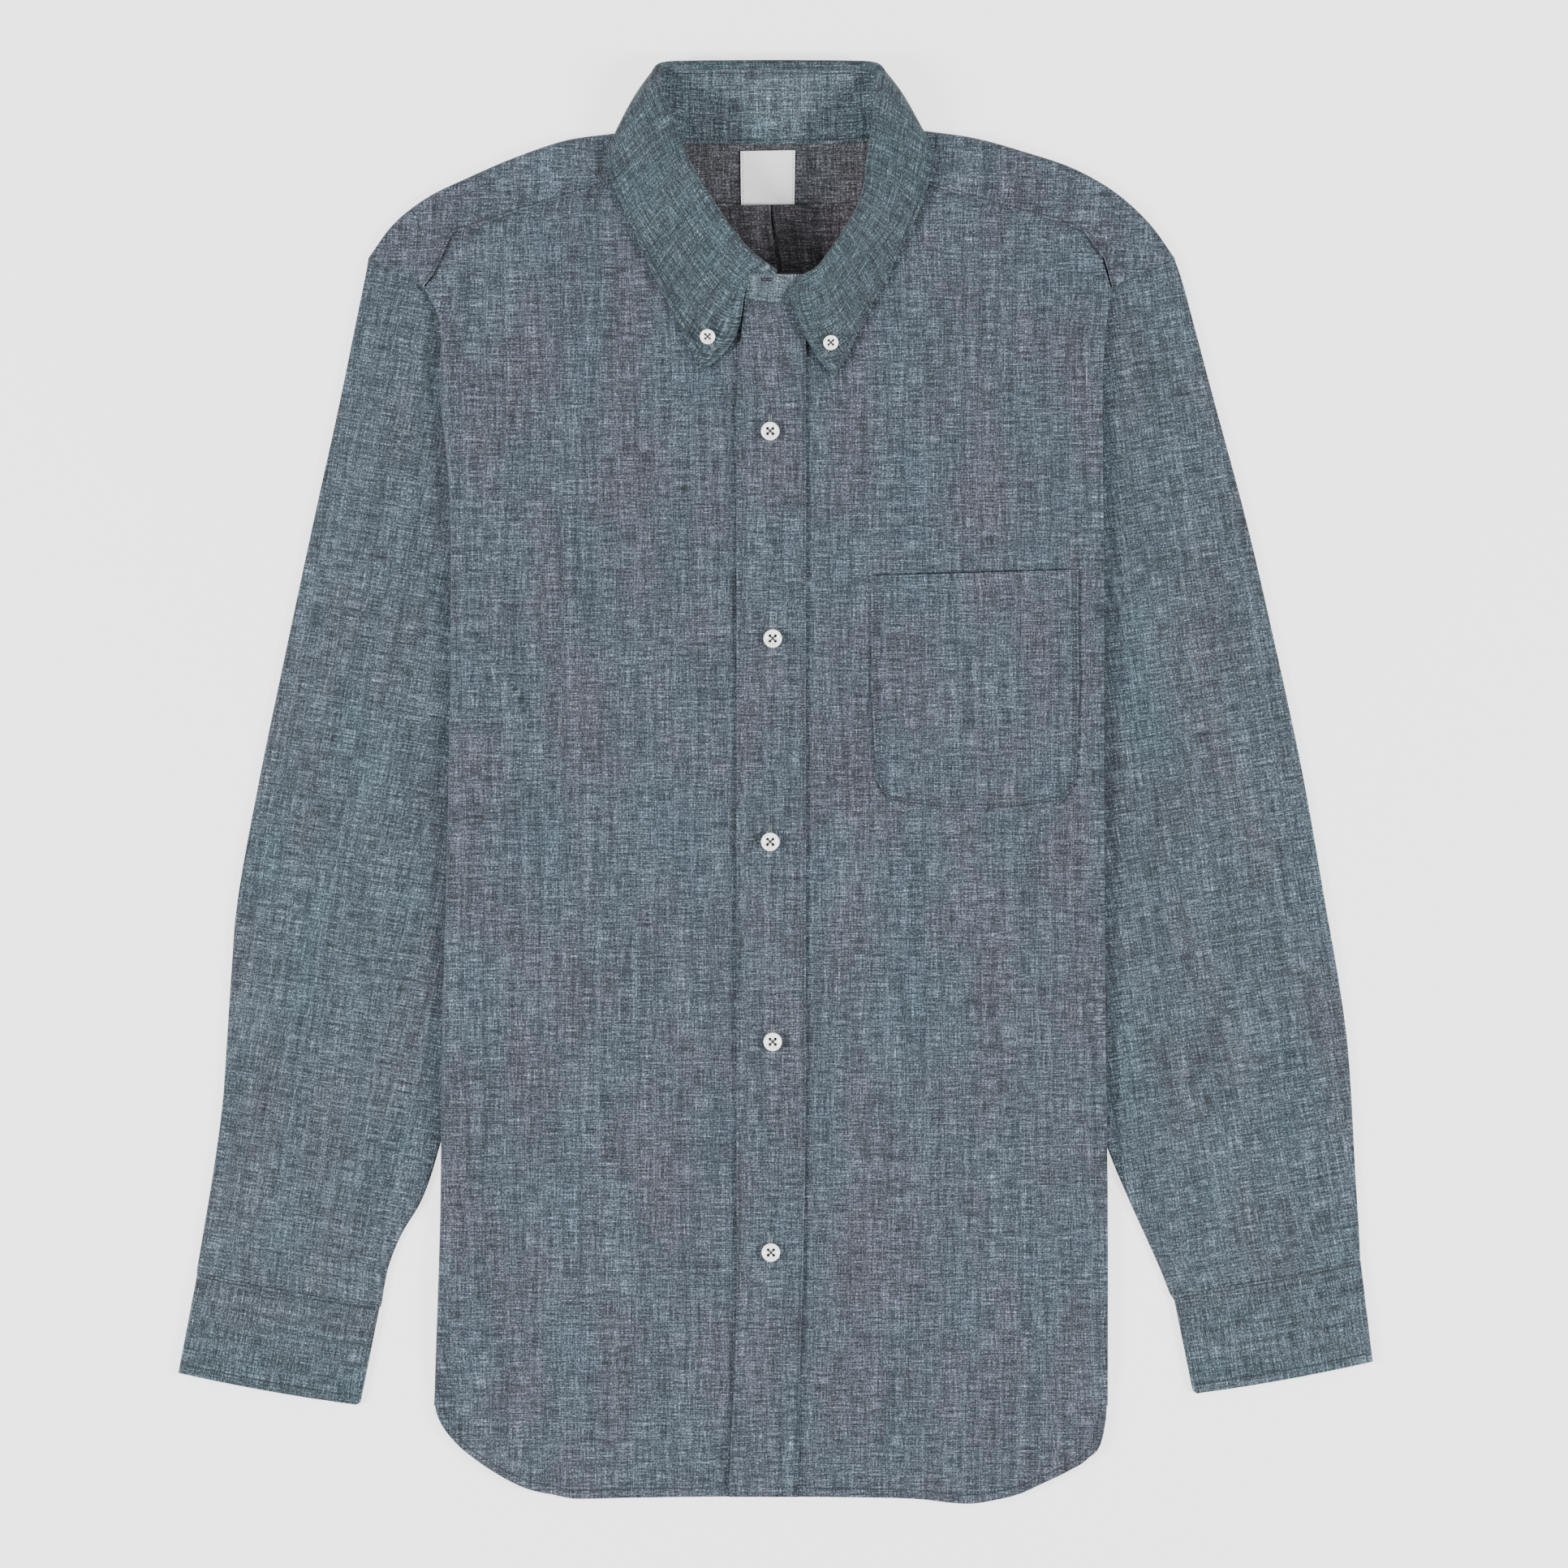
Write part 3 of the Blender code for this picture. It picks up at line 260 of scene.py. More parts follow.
COLLAR = {
    Side.RIGHT: (
        Neck(14.5, 273.0, 10.1, -0.6, 289.3, 20.5, 41.4, 232.8, 8.2, 20.0, 272.0),
        Neck(23.5, 277.0, 10.1, 12.0, 298.5, 25.0, 48.0, 245.5, 8.3, 32.0, 277.0),
        Neck(37.5, 286.0, 10.1, 23.5, 311.5, 26.5, 59.0, 266.5, 8.8, 43.5, 292.0),
        Neck(51.0, 302.0, 10.1, 37.5, 332.5, 28.0, 72.0, 292.5, 9.4, 57.0, 315.0),
        Neck(63.5, 323.0, 10.1, 50.0, 354.5, 28.0, 85.5, 323.0, 10.0, 70.0, 341.0),
        Neck(70.5, 343.0, 10.0, 57.0, 373.5, 26.0, 94.0, 344.5, 10.5, 77.5, 361.5),
        Neck(72.0, 357.0, 9.8, 64.0, 390.5, 21.5, 95.0, 356.5, 10.5, 82.0, 377.0),
        Neck(71.5, 366.5, 8.6, 66.5, 398.0, 17.0, 91.5, 365.0, 10.0, 83.5, 384.0),
        Neck(70.6, 371.5, 4.4, 66.0, 402.0, 14.0, 85.5, 371.5, 7.0, 81.5, 389.0),
        Neck(68.5, 368.2, 1.4, 64.0, 405.5, 12.0, 77.5, 376.0, 3.5, 74.5, 393.0),
        Neck(61.5, 366.8, 1.2, 59.0, 407.0, 11.0, 66.0, 377.0, 1.4, 64.0, 394.0),
        Neck(49.0, 365.2, 1.0, 49.0, 407.5, 10.5, 51.0, 375.5, 0.8, 50.0, 393.0),
        Neck(26.0, 364.5, 1.0, 26.0, 407.8, 10.2, 27.0, 375.0, 0.8, 26.0, 393.0),
    ),
    Side.LEFT: (
        Neck(10.0, 273.0, 13.2, 10.0, 284.6, 22.6, 33.0, 229.0, 8.2, 6.0, 266.0),
        Neck(22.5, 277.0, 12.0, 21.5, 290.0, 25.0, 41.0, 242.5, 8.3, 27.0, 266.0),
        Neck(36.5, 286.0, 10.1, 29.5, 299.5, 26.5, 49.5, 262.0, 8.8, 40.0, 283.0),
        Neck(49.0, 302.0, 10.1, 39.0, 313.5, 28.0, 60.5, 281.0, 9.4, 51.0, 299.0),
        Neck(58.5, 321.5, 10.1, 47.5, 330.5, 28.0, 73.5, 307.5, 10.0, 62.5, 321.0),
        Neck(65.0, 342.0, 10.0, 51.0, 353.5, 28.0, 85.0, 335.0, 10.5, 70.0, 348.0),
        Neck(65.0, 357.0, 9.8, 54.5, 376.5, 25.0, 88.0, 356.5, 10.5, 73.0, 370.0),
        Neck(64.5, 366.5, 8.6, 57.0, 394.5, 18.0, 85.0, 365.0, 10.0, 76.0, 383.0),
        Neck(63.7, 371.5, 4.4, 58.0, 401.5, 14.0, 79.0, 371.5, 7.0, 74.5, 389.0),
        Neck(61.5, 368.2, 1.4, 55.5, 405.5, 12.0, 71.0, 376.0, 3.5, 67.0, 393.0),
        Neck(55.0, 366.8, 1.2, 50.5, 407.0, 11.0, 60.0, 377.0, 1.4, 56.0, 394.0),
        Neck(43.0, 365.2, 1.0, 42.0, 407.5, 10.5, 44.0, 375.5, 0.8, 43.0, 393.0),
        Neck(20.0, 364.5, 1.0, 20.0, 407.8, 10.2, 20.0, 375.0, 0.8, 20.0, 393.0),
    ),
}
STAND_END = {
    Side.RIGHT: ((-5.0, 273.0, 10.1), (-5.0, 285.5, 19.5)),
    Side.LEFT: ((-17.6, 273.4, 13.0), (-14.9, 286.8, 23.0)),
}
LEAF_FRONT = {
    Side.RIGHT: ((20.2, 10.3), (-25.1, -0.9)),
    Side.LEFT: ((-5.2, 8.0), (-3.0, -1.7)),
}
PLACKET = (
    Strip(272.0, -17.6, 17.0),
    Strip(250.0, -20.0, 17.0),
    Strip(227.0, -21.6, 17.0),
    Strip(200.0, -22.4, 17.0),
    Strip(100.0, -22.1, 17.0),
    Strip(-155.0, -22.1, 17.0),
    Strip(-274.0, -22.1, 15.4),
    Strip(-330.0, -23.0, 13.8),
    Strip(-387.0, -26.0, 12.6),
    Strip(-404.4, -26.2, 12.4),
)
POCKET = (
    Strip(118.6, 54.0, 171.0),
    Strip(50.0, 54.2, 171.4),
    Strip(1.5, 57.0, 170.0),
    Strip(-5.0, 60.5, 166.5),
    Strip(-11.0, 66.0, 161.5),
)
FRONT_INNER = {Side.RIGHT: (-12.4, -9.0), Side.LEFT: (14.7, 10.2)}
CUFFS = {
    Side.RIGHT: Cuff((327.8, -277.8), (224.3, -296.9), (338.6, -334.4), (235.5, -352.8)),
    Side.LEFT: Cuff((331.3, -270.8), (225.0, -290.4), (338.2, -328.0), (236.4, -346.4)),
}
LABEL_MIDDLE = (-4.6, 342.6)
LABEL_SIZE = (30.5, 30.5)

BODY_CREASES = (
    Crease(-186.0, 108.0, -155.0, 61.0, 2.6, 2.8, 0.78, 1.5),
    Crease(-160.0, 70.0, -140.0, 34.0, 2.4, 2.8, 0.78, -2.0),
    Crease(-152.0, 55.0, -132.0, 60.0, 0.9, 3.0),
    Crease(-141.0, -325.0, -139.0, -401.0, -1.6, 5.0, 0.2, 1.0),
    Crease(-150.0, 20.0, -120.0, -60.0, 0.5, 11.0, 0.2, 4.0),
    Crease(-118.0, 190.0, -104.0, 60.0, -0.35, 13.0, 0.0, 6.0),
    Crease(-88.0, -20.0, -97.0, -190.0, 0.45, 14.0, 0.1, -5.0),
    Crease(-62.0, -150.0, -50.0, -330.0, -0.4, 12.0, 0.2, 5.0),
    Crease(-165.0, -90.0, -148.0, -250.0, -0.5, 12.0, 0.1, 5.0),
    Crease(111.0, 66.0, 109.0, -66.0, -0.9, 6.0, 0.3, 2.0),
    Crease(124.0, 80.0, 121.0, -30.0, 0.4, 9.0, -0.2, -2.0),
    Crease(58.0, -60.0, 74.0, -230.0, 0.45, 13.0, 0.2, 6.0),
    Crease(140.0, -90.0, 128.0, -290.0, -0.45, 14.0, -0.1, -6.0),
    Crease(42.0, 170.0, 36.0, 40.0, 0.3, 10.0, 0.0, 3.0),
    Crease(150.0, 220.0, 120.0, 150.0, 0.35, 12.0, 0.0, 4.0),
    Crease(96.0, -300.0, 104.0, -396.0, 0.4, 12.0, 0.0, 2.0),
    Crease(-34.0, 240.0, -23.0, 192.0, 1.6, 4.0, 0.6, 2.0),
)
CORNER_DENTS = (
    Crease(176.0, 312.0, 179.0, 250.0, -3.4, 6.5, -0.3, 1.5),
    Crease(-184.0, 308.0, -182.0, 248.0, -3.2, 6.0, 0.3, -1.5),
)
SLEEVE_CREASES = (
    Crease(-226.0, 214.0, -196.0, 150.0, 0.6, 9.0, 0.3, 3.0),
    Crease(-262.0, 120.0, -206.0, 84.0, 0.7, 8.0, 0.3, 4.0),
    Crease(-282.0, 10.0, -214.0, -18.0, -0.6, 9.0, 0.0, 5.0),
    Crease(-214.0, 60.0, -220.0, -60.0, 0.5, 10.0, 0.2, -6.0),
    Crease(-248.0, -60.0, -256.0, -190.0, 0.5, 11.0, 0.0, 5.0),
    Crease(-308.0, -192.0, -270.0, -214.0, 0.9, 6.0, 0.3, 2.0),
    Crease(-262.0, -228.0, -270.0, -276.0, 0.8, 5.0, 0.3, 1.0),
    Crease(-292.0, -232.0, -298.0, -272.0, -0.7, 5.0, 0.3, 1.0),
    Crease(222.0, 230.0, 199.0, 160.0, 0.6, 9.0, -0.3, -3.0),
    Crease(268.0, 96.0, 206.0, 66.0, 0.7, 8.0, -0.3, 4.0),
    Crease(284.0, -30.0, 222.0, -50.0, -0.6, 9.0, 0.0, 5.0),
    Crease(216.0, 40.0, 228.0, -90.0, 0.5, 10.0, -0.2, 6.0),
    Crease(268.0, -80.0, 262.0, -200.0, 0.5, 11.0, 0.0, -5.0),
    Crease(322.0, -246.0, 284.0, -254.0, 0.9, 6.0, 0.3, 2.0),
    Crease(262.0, -222.0, 268.0, -270.0, 0.8, 5.0, -0.3, 1.0),
    Crease(296.0, -226.0, 300.0, -264.0, -0.7, 5.0, 0.3, 1.0),
)
YOKE_CREASES = (
    Crease(-98.0, 362.0, -104.0, 334.0, -0.8, 6.0),
    Crease(-120.0, 356.0, -132.0, 328.0, 0.5, 8.0),
    Crease(100.0, 362.0, 106.0, 334.0, 0.7, 7.0),
    Crease(128.0, 352.0, 142.0, 326.0, -0.5, 8.0),
    Crease(176.0, 336.0, 160.0, 318.0, 0.5, 7.0),
    Crease(-178.0, 338.0, -160.0, 320.0, -0.5, 7.0),
)
BACK_CREASES = (
    Crease(-120.0, 240.0, -70.0, 40.0, 0.5, 16.0),
    Crease(90.0, 180.0, 60.0, -120.0, 0.5, 18.0),
    Crease(-60.0, -80.0, -90.0, -300.0, 0.6, 15.0),
    Crease(120.0, -100.0, 100.0, -330.0, 0.5, 17.0),
    Crease(20.0, 290.0, 26.0, 200.0, 0.5, 6.0),
)
LEAF_CREASES = (
    Crease(73.0, 330.0, 17.0, 262.0, -3.8, 7.0, 0.2, -4.0),
    Crease(70.0, 300.0, 34.0, 258.0, 1.0, 6.0, 0.0, 0.0),
    Crease(-66.0, 336.0, -38.0, 262.0, -1.8, 8.0, 0.2, 3.0),
    Crease(-44.0, 300.0, -26.0, 262.0, 0.5, 6.0, 0.0, 0.0),
)


def ease(value: Number) -> Number:
    """Smooth step from 0 to 1."""
    share = np.clip(value, 0.0, 1.0)
    return share * share * (3.0 - 2.0 * share)


def mix(low: Number, high: Number, share: Number) -> Number:
    """Point a share of the way from low to high."""
    return low + (high - low) * share


def curve(stations: Sequence[float], values: Grid, at: Number, steady: bool = True) -> Grid:
    """Smooth curve through values at rising stations.

    Args:
        stations: rising places of the values.
        values: one number or one row of numbers for each station.
        at: where the curve is read.
        steady: whether the curve never swings past its values.

    Returns:
        The values at each place in at.
    """
    stations = np.asarray(stations, float)
    values = np.asarray(values, float)
    flat = values.ndim == 1
    values = values.reshape(len(stations), -1)
    at = np.asarray(at, float)
    place = np.clip(at.ravel(), stations[0], stations[-1])
    k = np.clip(np.searchsorted(stations, place, side="right") - 1, 0, len(stations) - 2)
    widths = np.diff(stations)[:, None]
    slopes = np.diff(values, axis=0) / widths
    inner = (slopes[:-1] + slopes[1:]) / 2
    if steady:
        inner = np.where(slopes[:-1] * slopes[1:] > 0, inner, 0.0)
    else:
        inner = (slopes[:-1] * widths[1:] + slopes[1:] * widths[:-1]) / (widths[1:] + widths[:-1])
    tangents = np.concatenate([slopes[:1], inner, slopes[-1:]])
    width = widths[k]
    t = (place - stations[k])[:, None] / width
    rise = slopes[k] * width * t * t * (3 - 2 * t)
    bend = width * t * (1 - t) * (tangents[k] * (1 - t) - tangents[k + 1] * t)
    read = values[k] + rise + bend
    return read.reshape(at.shape) if flat else read.reshape(at.shape + (-1,))


def through(rows: Sequence[NamedTuple], column: str, at: Number, key: str = "y") -> Grid:
    """Smooth curve through one column of a table, read at values of its key column."""
    stations = np.array([getattr(row, key) for row in rows])
    values = np.array([getattr(row, column) for row in rows])
    order = np.argsort(stations)
    return curve(stations[order], values[order], at)


def straight(rows: Sequence[NamedTuple], column: str, at: Number) -> Grid:
    """Straight lines through one column of a table whose y runs down."""
    rising = rows[::-1]
    return np.interp(at, [row.y for row in rising], [getattr(row, column) for row in rising])


def chord(points: Grid) -> Grid:
    """Length along a line up to each of its points."""
    steps = np.linalg.norm(np.diff(points, axis=0), axis=1)
    return np.concatenate([[0.0], np.cumsum(steps)])


def waves(x: Grid, y: Grid, seed: int, longest: float) -> Grid:
    """Gentle unevenness of laid cloth: a few long waves, mostly running up the shirt.

    Args:
        x: plan positions across.
        y: plan positions along.
        seed: which set of waves.
        longest: the longest wave.

    Returns:
        Heights of about 1 at most.
    """
    draw = np.random.default_rng(seed)
    total = np.zeros(np.broadcast(x, y).shape)
    for _ in range(WAVE_COUNT):
        length = draw.uniform(0.3, 1.0) * longest
        turn = draw.uniform(-WAVE_LEAN, WAVE_LEAN)
        phase = draw.uniform(0.0, math.tau)
        along = x * math.cos(turn) + y * math.sin(turn)
        total += np.sin(math.tau * along / length + phase) * length / longest
    return total / WAVE_SUM


def relief(creases: Sequence[Crease], x: Grid, y: Grid) -> Grid:
    """Height that a set of creases adds at places in plan."""
    total = np.zeros(np.broadcast(x, y).shape)
    for crease in creases:
        run_x, run_y = crease.to_x - crease.x, crease.to_y - crease.y
        length = math.hypot(run_x, run_y)
        along = np.clip(((x - crease.x) * run_x + (y - crease.y) * run_y) / length ** 2, 0.0, 1.0)
        across = ((x - crease.x) * run_y - (y - crease.y) * run_x) / length
        across = across - crease.bow * 4 * along * (1 - along)
        width = crease.width * np.where(across > 0, 1 + crease.lean, 1 - crease.lean)
        total += crease.height * np.sin(math.pi * along) ** 0.7 * np.exp(-(across / width) ** 2)
    return total


@dataclass(frozen=True)
class Lie:
    """How the shirt lies: the height of the middle of each layer, in millimetres."""
    floor_layer: float = 0.5
    sleeve_top: float = 2.6
    over_sleeve: float = 3.9
    on_back: float = 1.8
    centre: float = 5.3
    side_turn: float = 2.3
    corner_turn: float = 0.8
    corner_from: float = 240.0
    foot_from: float = -313.0
    corner_ramp: float = 40.0
    neck_rise: float = 3.2
    neck_centre: tuple[float, float] = (-3.7, 328.0)
    neck_reach: tuple[float, float] = (60.0, 120.0)
    side_reach: float = 55.0
    sleeve_clear: float = 12.0
    return_slope: float = 0.35
    wave: float = 0.5
    longest_wave: float = 170.0
    wave_seed: int = 5
    rim: float = 16.0
    collar_clear: float = 75.0
    collar_ramp: float = 40.0

    def edge(self, side: Side, y: Number) -> Grid:
        """Distance from the centre line to the body's visible side."""
        y = np.asarray(y, float)
        shoulder = straight(SHOULDER_EDGE, side.value, y)
        return np.where(y > BODY_FOLD[0].y, shoulder, through(BODY_FOLD, side.value, y))

    def sleeve_inner(self, side: Side, y: Number) -> Grid:
        """Distance from the centre line to the sleeve's inner edge."""
        y = np.asarray(y, float)
        return np.where(y < ARMHOLE[-1].y, through(SLEEVE_INNER, side.value, y), 0.0)

    def returned(self, side: Side, out: Number, y: Number) -> Grid:
        """Height of the front's returned part: over the sleeve, then down on the back."""
        past = np.maximum(0.0, self.sleeve_inner(side, y) - out - self.sleeve_clear)
        low = np.maximum(self.on_back, self.over_sleeve - self.return_slope * past)
        return np.where(np.asarray(y) >= ARMHOLE[-1].y, self.over_sleeve, low)

    def turn(self, y: Number) -> Grid:
        """Radius of the front's side fold, tighter at its top and at its foot."""
        y = np.asarray(y)
        top = ease((y - self.corner_from) / self.corner_ramp)
        foot = ease((self.foot_from - y) / self.corner_ramp)
        return mix(self.side_turn, self.corner_turn, np.maximum(top, foot))

    def at_fold(self, side: Side, y: Number) -> Grid:
        """Height of the front's top layer where it reaches the side fold."""
        y = np.minimum(y, BODY_FOLD[0].y)
        turn = self.turn(y)
        return self.returned(side, self.edge(side, y) - turn, y) + 2 * turn

    def body(self, x: Number, y: Number) -> Grid:
        """Height of the middle of the body's top cloth, before its creases."""
        x, y = np.broadcast_arrays(np.asarray(x, float), np.asarray(y, float))
        from_neck = np.hypot(x - self.neck_centre[0], y - self.neck_centre[1])
        near, far = self.neck_reach
        middle = self.centre + self.neck_rise * (1.0 - ease((from_neck - near) / (far - near)))
        heights = []
        for side in Side:
            at_side = 1.0 - ease((self.edge(side, y) - np.abs(x)) / self.side_reach)
            heights.append(mix(middle, self.at_fold(side, y), at_side))
        return np.where(x > 0, heights[1], heights[0])

    def top(self, x: Number, y: Number) -> Grid:
        """Height of the middle of the body's top cloth with its creases and waves."""
        x, y = np.broadcast_arrays(np.asarray(x, float), np.asarray(y, float))
        edge = np.where(x > 0, self.edge(Side.LEFT, y), self.edge(Side.RIGHT, y))
        inside = ease((edge - np.abs(x)) / self.rim)
        from_neck = np.hypot(x - self.neck_centre[0], y - self.neck_centre[1])
        free = 0.25 + 0.75 * ease((from_neck - self.collar_clear) / self.collar_ramp)
        wave = self.wave * waves(x, y, self.wave_seed, self.longest_wave)
        folds = relief(BODY_CREASES, x, y) + wave
        return self.body(x, y) + folds * inside * free + relief(CORNER_DENTS, x, y) * inside ** 0.3


LIE = Lie()


def middle_of(node: str) -> Vector:
    """Middle of a solid's box."""
    low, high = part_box(node)
    return (low + high) / 2


ORIGIN = middle_of("neck_label") - Vector((LABEL_MIDDLE[0], LABEL_MIDDLE[1], 0.0)) * MM
ORIGIN.z = 0.0


def placed(points: Grid) -> Grid:
    """Places in the tables' millimetres as places in the frame, in metres."""
    return points * MM + np.array(ORIGIN)


def grid_of(x: Grid, y: Grid, z: Grid) -> Grid:
    """One grid of places from its three coordinates."""
    return np.stack(np.broadcast_arrays(x, y, z), axis=-1).astype(float)


def grain_plan(grid: Grid, angle: float = 0.0, shift: float = 0.0) -> Grid:
    """Where each point falls on the flat cloth, for a piece that lies nearly flat.

    Args:
        grid: the piece's points, in millimetres.
        angle: turn of the cloth's length from up the shirt, in radians.
        shift: moves this piece to another stretch of the cloth, in metres.

    Returns:
        Places across and along the cloth, in metres.
    """
    x, y, z = (grid[..., k] * MM for k in range(3))
    across = x * math.cos(angle) + y * math.sin(angle) + z
    along = y * math.cos(angle) - x * math.sin(angle)
    return np.stack([across + shift, along + shift * 0.7], axis=-1)


def grain_round(grid: Grid, shift: float) -> Grid:
    """Where each point falls on the flat cloth, by length along and across the piece."""
    middle = grid[:, grid.shape[1] // 2]
    along = np.broadcast_to(chord(middle)[:, None], grid.shape[:2])
    steps = np.linalg.norm(np.diff(grid, axis=1), axis=2)
    up = np.concatenate([np.zeros((len(grid), 1)), np.cumsum(steps, axis=1)], axis=1)
    return np.stack([along * MM + shift, up * MM + shift * 0.7], axis=-1)


class Term:
    """A shader socket that takes part in sums."""

    def __init__(self, shade: "Shade", socket: bpy.types.NodeSocket) -> None:
        """Keep the socket and the shader that it belongs to."""
        self.shade = shade
        self.socket = socket

    def __add__(self, other: Union["Term", float]) -> "Term":
        """Sum."""
        return self.shade.maths("ADD", self, other)

    def __sub__(self, other: Union["Term", float]) -> "Term":
        """Difference."""
        return self.shade.maths("SUBTRACT", self, other)

    def __mul__(self, other: Union["Term", float]) -> "Term":
        """Product."""
        return self.shade.maths("MULTIPLY", self, other)

    def __rpow__(self, other: float) -> "Term":
        """A number raised to this power."""
        return self.shade.maths("POWER", other, self)


class Shade:
    """The nodes of one material."""

    def __init__(self, name: str) -> None:
        """Start a Principled material."""
        self.material = bpy.data.materials.new(name)
        self.material.use_nodes = True
        self.nodes = self.material.node_tree.nodes
        self.links = self.material.node_tree.links
        self.surface = self.nodes["Principled BSDF"]

    def node(self, kind: str, settings: dict, values: dict, output: Union[int, str] = 0) -> Term:
        """Add a node.

        Args:
            kind: the node's type.
            settings: its own settings, made first.
            values: numbers or terms for its sockets, by name or number.
            output: which output is returned.

        Returns:
            The output as a term.
        """
        made = self.nodes.new(kind)
        for name, value in settings.items():
            setattr(made, name, value)
        for name, value in values.items():
            if isinstance(value, Term):
                self.links.new(value.socket, made.inputs[name])
            else:
                made.inputs[name].default_value = value
        return Term(self, made.outputs[output])

    def maths(self, operation: str, first: Union[Term, float], second: Union[Term, float]) -> Term:
        """One step of arithmetic on two numbers."""
        return self.node("ShaderNodeMath", {"operation": operation}, {0: first, 1: second})

    def step(self, value: Term, low: float, high: float) -> Term:
        """0 below low, 1 above high, and a smooth step between."""
        settings = {"interpolation_type": "SMOOTHSTEP"}
        values = {"Value": value, "From Min": low, "From Max": high}
        return self.node("ShaderNodeMapRange", settings, values)

    def cloth_place(self) -> Term:
        """Place on the flat cloth, in metres."""
        return self.node("ShaderNodeUVMap", {"uv_map": GRAIN}, {})

    def scaled(self, place: Term, across: float, along: float) -> Term:
        """A place on the flat cloth, stretched across and along."""
        values = {0: place, 1: (across, along, 1.0)}
        return self.node("ShaderNodeVectorMath", {"operation": "MULTIPLY"}, values)

    def noise(self, place: Term, across: float, along: float, detail: float = 1.0) -> Term:
        """Noise with so many lumps a metre across and along, from about -1 to 1."""
        values = {"Vector": self.scaled(place, across, along), "Scale": 1.0, "Detail": detail}
        read = self.node("ShaderNodeTexNoise", {"noise_dimensions": "2D"}, values)
        return (read - 0.5) * 4.0

    def tone(self, colour: Union[Term, Colour], amount: Term) -> Term:
        """A colour made lighter or darker."""
        first = colour if isinstance(colour, Term) else self.blend(0.0, colour, colour)
        values = {0: first, "Scale": amount}
        return self.node("ShaderNodeVectorMath", {"operation": "SCALE"}, values)

    def blend(self, share: Union[Term, float], first: Union[Term, Colour],
              second: Union[Term, Colour]) -> Term:
        """Mix of two colours."""
        first = first if isinstance(first, Term) else (*first, 1.0)
        second = second if isinstance(second, Term) else (*second, 1.0)
        values = {0: share, 6: first, 7: second}
        return self.node("ShaderNodeMix", {"data_type": "RGBA"}, values, 2)

    def finish(self, colour: Term, height: Term, depth: float, roughness: float,
               **fixed: float) -> bpy.types.Material:
        """Join colour and relief to the surface.

        Args:
            colour: base colour over the surface.
            height: relief over the surface, about -1 to 1.
            depth: how deep a relief of 1 is, in metres.
            roughness: roughness all over.
            fixed: other sockets, each one number, with _ for a space.

        Returns:
            The finished material.
        """
        surface = self.surface
        self.links.new(colour.socket, surface.inputs["Base Color"])
        bump = self.node("ShaderNodeBump", {}, {"Height": height, "Distance": depth, "Strength": 1.0})
        self.links.new(bump.socket, surface.inputs["Normal"])
        surface.inputs["Roughness"].default_value = roughness
        for name, value in fixed.items():
            surface.inputs[name.replace("_", " ")].default_value = value
        return self.material


@dataclass(frozen=True)
class Chambray:
    """Plain-woven cloth with a blue-green warp, a pale weft, slubs and neps.

    Sizes are in lumps a metre. The weft runs across the cloth and the warp along it.
    """
    name: str
    colour: Colour
    mauve: Colour = (1.130, 0.976, 0.997)
    teal: Colour = (0.880, 1.014, 1.009)
    contrast: float = 1.80
    drift: float = 0.5
    nep_colour: Colour = (0.30, 0.31, 0.31)
    depth: float = 0.00010
    roughness: float = 0.88

    def material(self) -> bpy.types.Material:
        """The cloth's material."""
        shade = Shade(self.name)
        place = shade.cloth_place()
        weft = shade.noise(place, 95.0, 1450.0)
        warp = shade.noise(place, 1350.0, 75.0)
        weft_band = shade.noise(place, 16.0, 520.0)
        warp_band = shade.noise(place, 300.0, 13.0, 2.0)
        crossing = shade.noise(place, 980.0, 980.0)
        cloud = shade.noise(place, 22.0, 15.0, 2.0)
        slub = shade.step(shade.noise(place, 42.0, 1150.0), 0.86, 1.35)
        nep = shade.step(shade.noise(place, 420.0, 760.0), 1.22, 1.5)
        thread = weft * 1.05 + warp * 0.85 + crossing * 1.45
        tone = thread + weft_band * 0.40 + warp_band * 0.52 + cloud * 0.12 + slub * 1.1
        hue = shade.step(cloud * self.drift + shade.noise(place, 34.0, 7.0) * 0.3, -0.9, 0.9)
        tint = shade.blend(hue, self.mauve, self.teal)
        cloth = shade.node("ShaderNodeVectorMath", {"operation": "MULTIPLY"},
                           {0: tint, 1: self.colour})
        woven = shade.tone(cloth, self.contrast ** tone)
        colour = shade.blend(nep, woven, self.nep_colour)
        height = thread * 0.3 + slub + nep * 1.5
        return shade.finish(colour, height, self.depth, self.roughness, Sheen_Weight=0.12,
                            Sheen_Roughness=0.5, Specular_IOR_Level=0.25)


@dataclass(frozen=True)
class LabelCloth:
    """Close white woven tape."""
    name: str = "label_weave"
    colour: Colour = (0.96, 0.96, 0.95)

    def material(self) -> bpy.types.Material:
        """The tape's material."""
        shade = Shade(self.name)
        place = shade.cloth_place()
        ribs = shade.noise(place, 260.0, 2600.0)
        threads = shade.noise(place, 1900.0, 320.0)
        tone = ribs * 0.5 + threads * 0.4
        colour = shade.tone(self.colour, 1.07 ** tone)
        return shade.finish(colour, tone, 0.00006, 0.7, Sheen_Weight=0.1)


